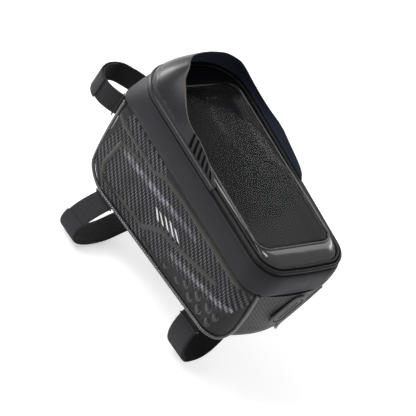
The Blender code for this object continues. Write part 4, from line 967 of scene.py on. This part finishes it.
def sleeve():
    """Tray under the window, with rounded floor edges and a bound mouth at its rear."""
    length, _, _, middle = POCKET
    floor, under = SLEEVE_FLOOR, SLEEVE_FLOOR - SLEEVE_WALL
    section = [(0.0010, -0.0018), (0.0010, under + 0.0004), (0.0004, under), (-0.004, under), (-0.004, floor)]
    section += [(-0.0016, floor + 0.0001), (-0.0004, floor + 0.0008), (0.0, floor + 0.0020), (0.0, -0.0018)]
    rows = [row(box_loop(*POCKET), -grow, height) for grow, height in section]
    mouth = middle - length / 2
    high = ZIP_HEIGHT + floor + 0.0004
    for point in [point for points in rows for point in points if point.x < mouth + 0.0105]:
        share = eased(mouth + 0.0105, mouth + 0.004, point.x)
        point.z = min(point.z, point.z + (high - point.z) * share)
    grid_mesh("sleeve_wall", rows, SLEEVE, "phone_pocket", "lid", "rows points")
    inner = box_loop(*POCKET, -0.0035)
    plates = [("sleeve_floor", floor + 0.00004, 0.00035, SLEEVE), ("sleeve_back", under, 0.0, BINDING)]
    for name, height, wavy, mat in plates:
        plate = []
        for share in np.linspace(0.0, 0.985, 12):
            points = []
            for flat in drawn_in(inner, 0.0, share, middle):
                lift = wavy * noise.noise(Vector((flat.x * 30, flat.y * 45, 3.0))) * min(1.0, share * 4)
                points.append(raised(flat, height + max(0.0, lift)))
            plate.append(points)
        grid_mesh(name, plate, mat, None, "lid", "points", [len(plate) - 1])
    # Binding along the sleeve's rear mouth
    path = [Vector((mouth - 0.0006, y, ZIP_HEIGHT + floor - 0.0003)) for y in np.linspace(-0.030, 0.030, 40)]
    tube("sleeve_binding", path, 0.0009, BINDING, None, "lid", sides=10)
    # Tab under the mouth
    half, wall = 0.014, 0.0012
    low = ZIP_HEIGHT + under - GAP - wall
    square = [(mouth + x * half, y * half, low) for x, y in ((-1, -1), (1, -1), (1, 1), (-1, 1))]
    drawn_out("sleeve_tab", square, (0.0, 0.0, wall), STRAP_OUT, "pocket_tab", "lid", 0.0004)


sleeve()
hole = box_loop(*POCKET)
rim = [(OUTLINE, 4.1, -0.3), (OUTLINE, 4.1, 1.0), (OUTLINE, 4.4, 1.2)]
rim += [(hole, 0.0, 1.2), (hole, 0.0, -0.5), (OUTLINE, 4.4, -0.5)]
rows = [row(loop, inset / 1000, height / 1000) for loop, inset, height in rim]
grid_mesh("lid_frame_cover", rows, BAND, "lid_frame", "lid", "rows points")


# Sun hood


def hood_path():
    """Fine base path of the hood, as (point, normal, share), dense along its wings."""
    front = [entry for entry in OUTLINE if entry[0].x > 0.0]
    start = max(range(len(front)), key=lambda i: (front[i][0] - front[i - 1][0]).length)
    front = front[start:] + front[:start]

    def straight_back(entry):
        point, normal = entry
        along = turned(normal, math.pi / 2)
        return point + along * ((HOOD_BACK - point.x) / along.x), normal

    stations = [straight_back(front[0]), *front, straight_back(front[-1])]
    lengths = lengths_along([point for point, _ in stations])
    total = lengths[-1]
    count = int(HOOD_WING / 0.0004)
    wings = [HOOD_WING * i / count for i in range(count + 1)]
    middle_count = int((total - 2 * HOOD_WING) / 0.0012)
    wanted = wings[:-1] + [HOOD_WING + (total - 2 * HOOD_WING) * i / middle_count for i in range(middle_count)]
    wanted += [total - HOOD_WING + d for d in wings]
    columns = zip(*[(*point, *normal) for point, normal in stations])
    made = []
    for d, x, y, across, along in zip(wanted, *[np.interp(wanted, lengths, column) for column in columns]):
        made.append((Vector((x, y)), Vector((across, along)).normalized(), 1 - abs(2 * d / total - 1)))
    return made


def hood_rim(share):
    wing = HOOD_FOOT[1] + 0.0006
    wing += (HOOD_SIDE_HEIGHT - wing) * math.sqrt(min(1.0, share / 0.24))
    rise = (HOOD_FRONT_HEIGHT - HOOD_SIDE_HEIGHT) * eased(0.33, 0.72, share)
    lean = HOOD_SIDE_LEAN * eased(0.0, 0.2, share)
    lean += (HOOD_CORNER_LEAN - HOOD_SIDE_LEAN) * eased(0.28, 0.68, share)
    lean -= (HOOD_CORNER_LEAN - HOOD_FRONT_LEAN) * eased(0.7, 1.0, share)
    return wing + rise, lean


def louvre_depth(x, height):
    """Depth of the grooves in the hood's wings, 0 to 1, at x and height in millimetres."""
    deepest = 0.0
    for i in range(6):
        t = (height - 4.2) / (5.4 + 1.35 * i)
        middle = -12.2 + 6.4 * i + 4.6 * t
        half = 1.9 * (1 - 0.45 * t)
        side = 1 - eased(half - 0.25, half + 0.25, abs(x - middle))
        ends = eased(-0.04, 0.04, t) * (1 - eased(0.95, 1.03, t))
        deepest = max(deepest, side * ends)
    return deepest


def hood_crease(x, height, share):
    """A low moulded step line that follows the foot and turns up before the louvres."""
    line = 0.0068 + 0.0016 * eased(0.45, 0.75, share)
    step = eased(0.040, 0.046, x) * (1 - eased(0.0, 0.0006, abs(height - line))) * 0.00035
    if 0.026 < x < 0.046:
        slant = 0.034 + (height - 0.0034) * 0.45
        rising = (1 - eased(0.0, 0.0006, abs(x - slant))) * (1 - eased(0.0128, 0.0140, height))
        step = max(step, rising * 0.0003)
    return step


def sun_hood():
    outer, inner, grooves = [], [], []
    for level in [*HOOD_FLANGE, *np.linspace(0.0, 1.0, 44)]:
        flange = isinstance(level, tuple)
        half = HOOD_WALL / 2 * (0.5 if not flange and level == 1.0 else 1.0)
        far, near, marks = [], [], []
        for point, normal, share in hood_path():
            groove = 0.0
            if flange:
                inset, height = level
            else:
                rim, lean = hood_rim(share)
                inset = HOOD_FOOT[0] + lean * level**1.5
                height = HOOD_FOOT[1] + (rim - HOOD_FOOT[1]) * level
                if point.x < LOUVRE_FRONT and level <= 0.985:
                    groove = louvre_depth(point.x * 1000, height * 1000)
            shift = inset - half + 0.0005 * groove - hood_crease(point.x, height, share)
            far.append(raised(point - normal * shift, height))
            near.append(raised(point - normal * (inset + half), height))
            marks.append(groove)
        outer.append(far)
        inner.append(near)
        grooves.append(marks)
    count = len(outer)
    marked = np.vstack([grooves, np.zeros_like(grooves)])
    cut = np.zeros_like(marked)
    cut[count - 1 : count + 1] = 0.8
    # Faces deep in the louvres take the near-black painted-shade material
    grid_mesh("sun_hood_sheet", outer + inner[::-1], [HOOD, HOOD_IN, LOUVRE], "sun_hood", "lid",
              "rows", values={"groove": marked, "edge": cut}, sharp=55,
              face_slot=lambda i, j: 1 if i >= count else 2 * int(grooves[i][j] > 0.35))


sun_hood()


# Straps


def loop_point(loop, degrees):
    wide, tall, tilt, across, up, draw, shift, _ = loop
    angle, lean = math.radians(degrees), math.radians(tilt)
    point = turned(Vector((wide * math.cos(angle), tall * math.sin(angle))), lean)
    half = math.hypot(wide * math.sin(lean), tall * math.cos(lean))
    crest = math.degrees(math.atan2(tall * math.cos(lean), wide * math.sin(lean)))
    past = (degrees - crest + 180.0) % 360.0 - 180.0
    moved = shift * eased(-60.0, -10.0, past) * (1 - eased(20.0, 120.0, past))
    rise = max(0.0, point.y / half) ** 4
    return Vector((across + point.x + moved, min(0.0, up + point.y * (1 + draw * rise))))


def loop_frame(loop, degrees, reach):
    """Point of a strap's loop and its outward normal, taken over a reach in degrees."""
    along = (loop_point(loop, degrees + reach) - loop_point(loop, degrees - reach)).normalized()
    return loop_point(loop, degrees), Vector((along.y, -along.x))


def strap_path(loop, fine=5):
    step = 360.0 / STRAP_STEPS
    turns = round((360.0 + TAIL_END - TAIL_START) / step)
    path = []
    for k in range(turns * fine + 1):
        i = k / fine
        point, normal = loop_frame(loop, TAIL_START + i * step, step / 2)
        layer = STRAP_LAYER * eased(STRAP_STEPS - 4, STRAP_STEPS - 1, i)
        path.append((point + normal * layer, normal))
    return path


def strap_section():
    """The webbing's section as (across, outward): its inner face, an edge, its outer face, an edge."""
    half, wall = STRAP_WIDTH / 2, STRAP_WALL
    section = []
    for sign, face, dip in ((-1, 0.0, 0.0002), (1, wall, -0.0002)):
        for s in np.linspace(sign, -sign, 15):
            section.append((s * (half - 0.0004), face + (dip if abs(s) > 0.99 else 0.0)))
        for back, share in ((0.0001, 0.3), (0.0, 0.55), (0.0001, 0.8))[::-sign]:
            section.append((sign * (back - half), wall * share))
    return section


def strap(name, loop, place):
    section = strap_section()
    path = strap_path(loop)
    rows, uv = [], []
    for (point, normal), length in zip(path, lengths_along([point for point, _ in path])):
        rows.append([place(point + normal * out, along) for along, out in section])
        uv.append([(length, along) for along, _ in section])
    grid_mesh(name + "_webbing", rows, [STRAP_OUT, STRAP_IN], name, loops="points",
              caps=(0, len(rows) - 1), uv=uv, sharp=50, face_slot=lambda i, j: int(j < 14))
    # Slide: a rounded rectangle of wire round both layers
    point, normal = loop_frame(loop, loop[-1], 6.0)
    low, high, corner = -0.0007, STRAP_LAYER + STRAP_WALL + 0.0007, 0.0009
    reach, tall = STRAP_WIDTH / 2 + 0.0006 - corner, (high - low) / 2 - corner
    outline = []
    for right, up, start in ((1, 1, 0), (-1, 1, 90), (-1, -1, 180), (1, -1, 270)):
        for k in range(6):
            angle = math.radians(start + 18 * k)
            out = (low + high) / 2 + up * tall + corner * math.sin(angle)
            outline.append(place(point + normal * out, right * reach + corner * math.cos(angle)))
    tube(name + "_slide", outline, 0.0005, RING_PLASTIC, name + "_ring", closed=True)


SLOPE = Vector((1.0, 0.0, -BOTTOM_SLOPE)).normalized()
DOWN = Vector((-BOTTOM_SLOPE, 0.0, -1.0)).normalized()
GUSSET_X = [point.x for points in gusset_rows() for point in points]


def under_bag(x):
    origin = Vector((x, 0.0, ZIP_HEIGHT - bottom_depth(x) - PAD_TOP_DEPTH)) + DOWN * (GAP + STRAP_WALL)
    return lambda spot, along: origin + Vector((0.0, spot.x, 0.0)) - DOWN * spot.y + SLOPE * along


def at_front(spot, along):
    return Vector((max(GUSSET_X) + 2 * GAP + STRAP_WALL - spot.y, spot.x, ZIP_HEIGHT - HEAD_STRAP_DEPTH + along))


strap("head_tube_strap", LOOP_HEAD, at_front)
strap("top_tube_strap_front", LOOP_FRONT, under_bag(STRAP_FRONT_X))
strap("top_tube_strap_rear", LOOP_REAR, under_bag(STRAP_REAR_X))


# Pads, port, board, hinge, slider


def channelled(low_end, high_end, channels):
    profile = [(low_end, 0.0)]
    half = STRAP_WIDTH / 2 + 2 * GAP
    for low, high in [(middle - half, middle + half) for middle in channels]:
        profile += [(low, 0.0), (low, CHANNEL_DEPTH), (high, CHANNEL_DEPTH), (high, 0.0)]
    return profile + [(high_end, 0.0), (high_end, PAD_WALL), (low_end, PAD_WALL)]


def grip_pad(name, outline, middle, replaced):
    """A pad across the bag from a side view outline of (x, z) points."""
    outline = [(x, middle - PAD_WIDTH / 2, z) for x, z in outline]
    pad = drawn_out(name, outline, (0.0, PAD_WIDTH, 0.0), GRIP, replaced, "shell", 0.0006)


seat = Vector((0.0, 0.0, ZIP_HEIGHT - BOTTOM_DEPTH - PAD_TOP_DEPTH))
rear, front, *channels = [x / SLOPE.x for x in (PAD_REAR, PAD_FRONT, STRAP_REAR_X, STRAP_FRONT_X)]
spots = [seat + SLOPE * along + DOWN * out for along, out in channelled(rear, front, channels)]
grip_pad("tube_grip_pad", [(spot.x, spot.z) for spot in spots], 0.0, "tube_pad")
outline = []
for along, out in channelled(-PATCH_HEIGHT / 2, PATCH_HEIGHT / 2, [0.0]):
    outline.append((max(GUSSET_X) + GAP + out, ZIP_HEIGHT - HEAD_STRAP_DEPTH + along))
grip_pad("head_strap_pad", outline, PATCH_OFFSET, "head_strap_patch")


def port_row(grow, out, steps=16):
    """Rounded slot in the rear, grown by a margin and standing out of the gusset."""
    y, z = PORT_WIDTH / 2 + grow, PORT_LENGTH / 2 + grow
    corners = [(a * y, b * z, 0.97 * y, steps) for a, b in ((-1, -1), (1, -1), (1, 1), (-1, 1))]
    middle = Vector((PORT_OFFSET, ZIP_HEIGHT - PORT_DEPTH))
    flats = [turned(point, -math.radians(PORT_TILT)) + middle for point, _ in rounded_loop(corners, 6)]
    return [Vector((min(GUSSET_X) - GAP - out, *flat)) for flat in flats]


rim = [(0.0, -0.4), (0.0, 0.6), (-0.2, 1.0), (-0.6, 1.32), (-1.1, 1.4)]
rim += [(-2.1, 1.4), (-2.6, 1.28), (-2.9, 1.0), (-3.15, 0.6), (-3.2, -0.3)]
rows = [port_row(*entry) for entry in mm(rim)]
grid_mesh("port_grommet_ring", rows, RUBBER, "cable_port_grommet", loops="rows points")
pad = [(-3.5, -1.8), (-3.5, 0.5), (-3.7, 0.8), (-4.2, 0.92), (-5.2, 1.1)]
pad += [(-6.2, 1.18), (-6.9, 1.1), (-7.3, 0.8), (-7.6, 0.1), (-7.75, -0.6)]
rows = [port_row(*entry) for entry in mm(pad)]
grid_mesh("port_slit_pad", rows, RUBBER, "cable_port_pad", loops="points", caps=(0, len(rows) - 1))


def band_front(y, depth):
    """x of the band's front face before it swells."""
    faces = []
    for loop in (OUTLINE, plan_loop(BODY_FRONT_CORNER)):
        ys, xs = zip(*sorted((p.y, p.x) for p, _ in loop if p.x > 0.07))
        faces.append(np.interp(y, ys, xs))
    return faces[0] + (faces[1] - faces[0]) * band_share(depth)


half_hinge = FRONT_WIDTH / 2 - FRONT_CORNER
face = mm([(1.7, 14.8), (1.6, 11), (1.4, 8), (1.1, 5.8), (0.7, 4.3), (0.3, 3.4)])
rows = []
for out, depth in face + [(out + 0.0008, depth) for out, depth in face[::-1]]:
    across = np.linspace(-half_hinge, half_hinge, 40)
    rows.append([Vector((band_front(y, depth) + out, y, ZIP_HEIGHT - depth)) for y in across])
grid_mesh("hinge_webbing", rows, STRAP_OUT, "lid_hinge_strip", loops="rows", sharp=50)

for node, mat in (("base_board", BOARD), ("zip_slider", METAL), ("zip_pull", PULL)):
    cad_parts[node].data.materials.clear()
    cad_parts[node].data.materials.append(mat)


# Floor, light, camera


def shown_white(tree):
    """1 where the camera, a reflection or a clear film looks at the background."""
    seen = tree.nodes.new("ShaderNodeLightPath")
    total = seen.outputs["Is Camera Ray"]
    for kind in ("Is Glossy Ray", "Is Transmission Ray"):
        either = tree.nodes.new("ShaderNodeMath")
        either.operation = "MAXIMUM"
        tree.links.new(total, either.inputs[0])
        tree.links.new(seen.outputs[kind], either.inputs[1])
        total = either.outputs[0]
    return total


low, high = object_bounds()
bpy.ops.mesh.primitive_plane_add(size=6.0, location=(0.0, 0.0, low.z - 0.0002))
floor = bpy.context.active_object
floor.name = "studio_floor"
floor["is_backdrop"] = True
ground = Nodes("floor_white", 0.9, (0.93, 0.93, 0.93), 0.0)
ground.set(Emission_Color=(1.0, 1.0, 1.0), Emission_Strength=ground.times(shown_white(ground.tree), FLOOR_GLOW))
floor.data.materials.append(ground.mat)

world = bpy.data.worlds.new("studio")
bpy.context.scene.world = world
world.use_nodes = True
tree = world.node_tree
sky = tree.nodes.new("ShaderNodeMix")
tree.links.new(shown_white(tree), sky.inputs[0])
sky.inputs[2].default_value, sky.inputs[3].default_value = SKY_LIGHT, 1.0
tree.links.new(sky.outputs[0], tree.nodes["Background"].inputs["Strength"])
tree.nodes["Background"].inputs["Color"].default_value = (1.0, 1.0, 1.0, 1.0)


def aimed(place, side, up, back):
    turn = Matrix((side, up, back)).transposed().to_4x4()
    return Matrix.Translation(place) @ turn


def area_light(name, place, target, wide, tall, power, above=(0.0, 0.0, 1.0)):
    data = bpy.data.lights.new(name, "AREA")
    data.shape = "RECTANGLE"
    data.size, data.size_y = wide, tall
    data.energy = power
    lamp = bpy.data.objects.new(name, data)
    bpy.context.scene.collection.objects.link(lamp)
    away = (Vector(place) - Vector(target)).normalized()
    side = Vector(above).cross(away).normalized()
    lamp.matrix_world = aimed(place, side, away.cross(side), away)


middle, slope = (0.0, 0.0, 0.08), (-0.09, 0.0, 0.11)
area_light("key", (0.55, 0.95, 1.45), middle, 0.9, 0.9, 17.0)
area_light("window_veil", (0.50, -1.15, 0.93), (0.0, 0.0, 0.11), 0.5, 0.5, 2.0, (0.78, -0.10, -0.62))
area_light("left_corner", (0.26, -0.66, 1.40), slope, 0.10, 0.30, 0.9)
area_light("right_corner", (0.32, -1.22, 0.93), slope, 0.10, 0.30, 0.6)
area_light("front_low", (1.25, 0.25, 0.22), (0.1, 0.02, 0.13), 0.4, 0.4, 8.0)
area_light("rear_low", (-1.3, -0.2, 0.35), middle, 0.6, 0.6, 1.0)

camera_data = bpy.data.cameras.new("photo_view")
camera_data.sensor_width = 36.0
camera_data.lens = 191.341
camera_data.clip_start = 0.05
camera = bpy.data.objects.new("photo_view", camera_data)
bpy.context.scene.collection.objects.link(camera)
right = Vector((-0.4609, -0.756433, 0.46409))
up = Vector((0.781558, -0.098248, 0.616048))
back = Vector((-0.420403, 0.64665, 0.636479))
camera.matrix_world = aimed((-0.736044, 1.137428, 1.171635), right, up, back)
bpy.context.scene.camera = camera

bpy.context.scene.view_settings.view_transform = "Standard"

low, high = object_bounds()
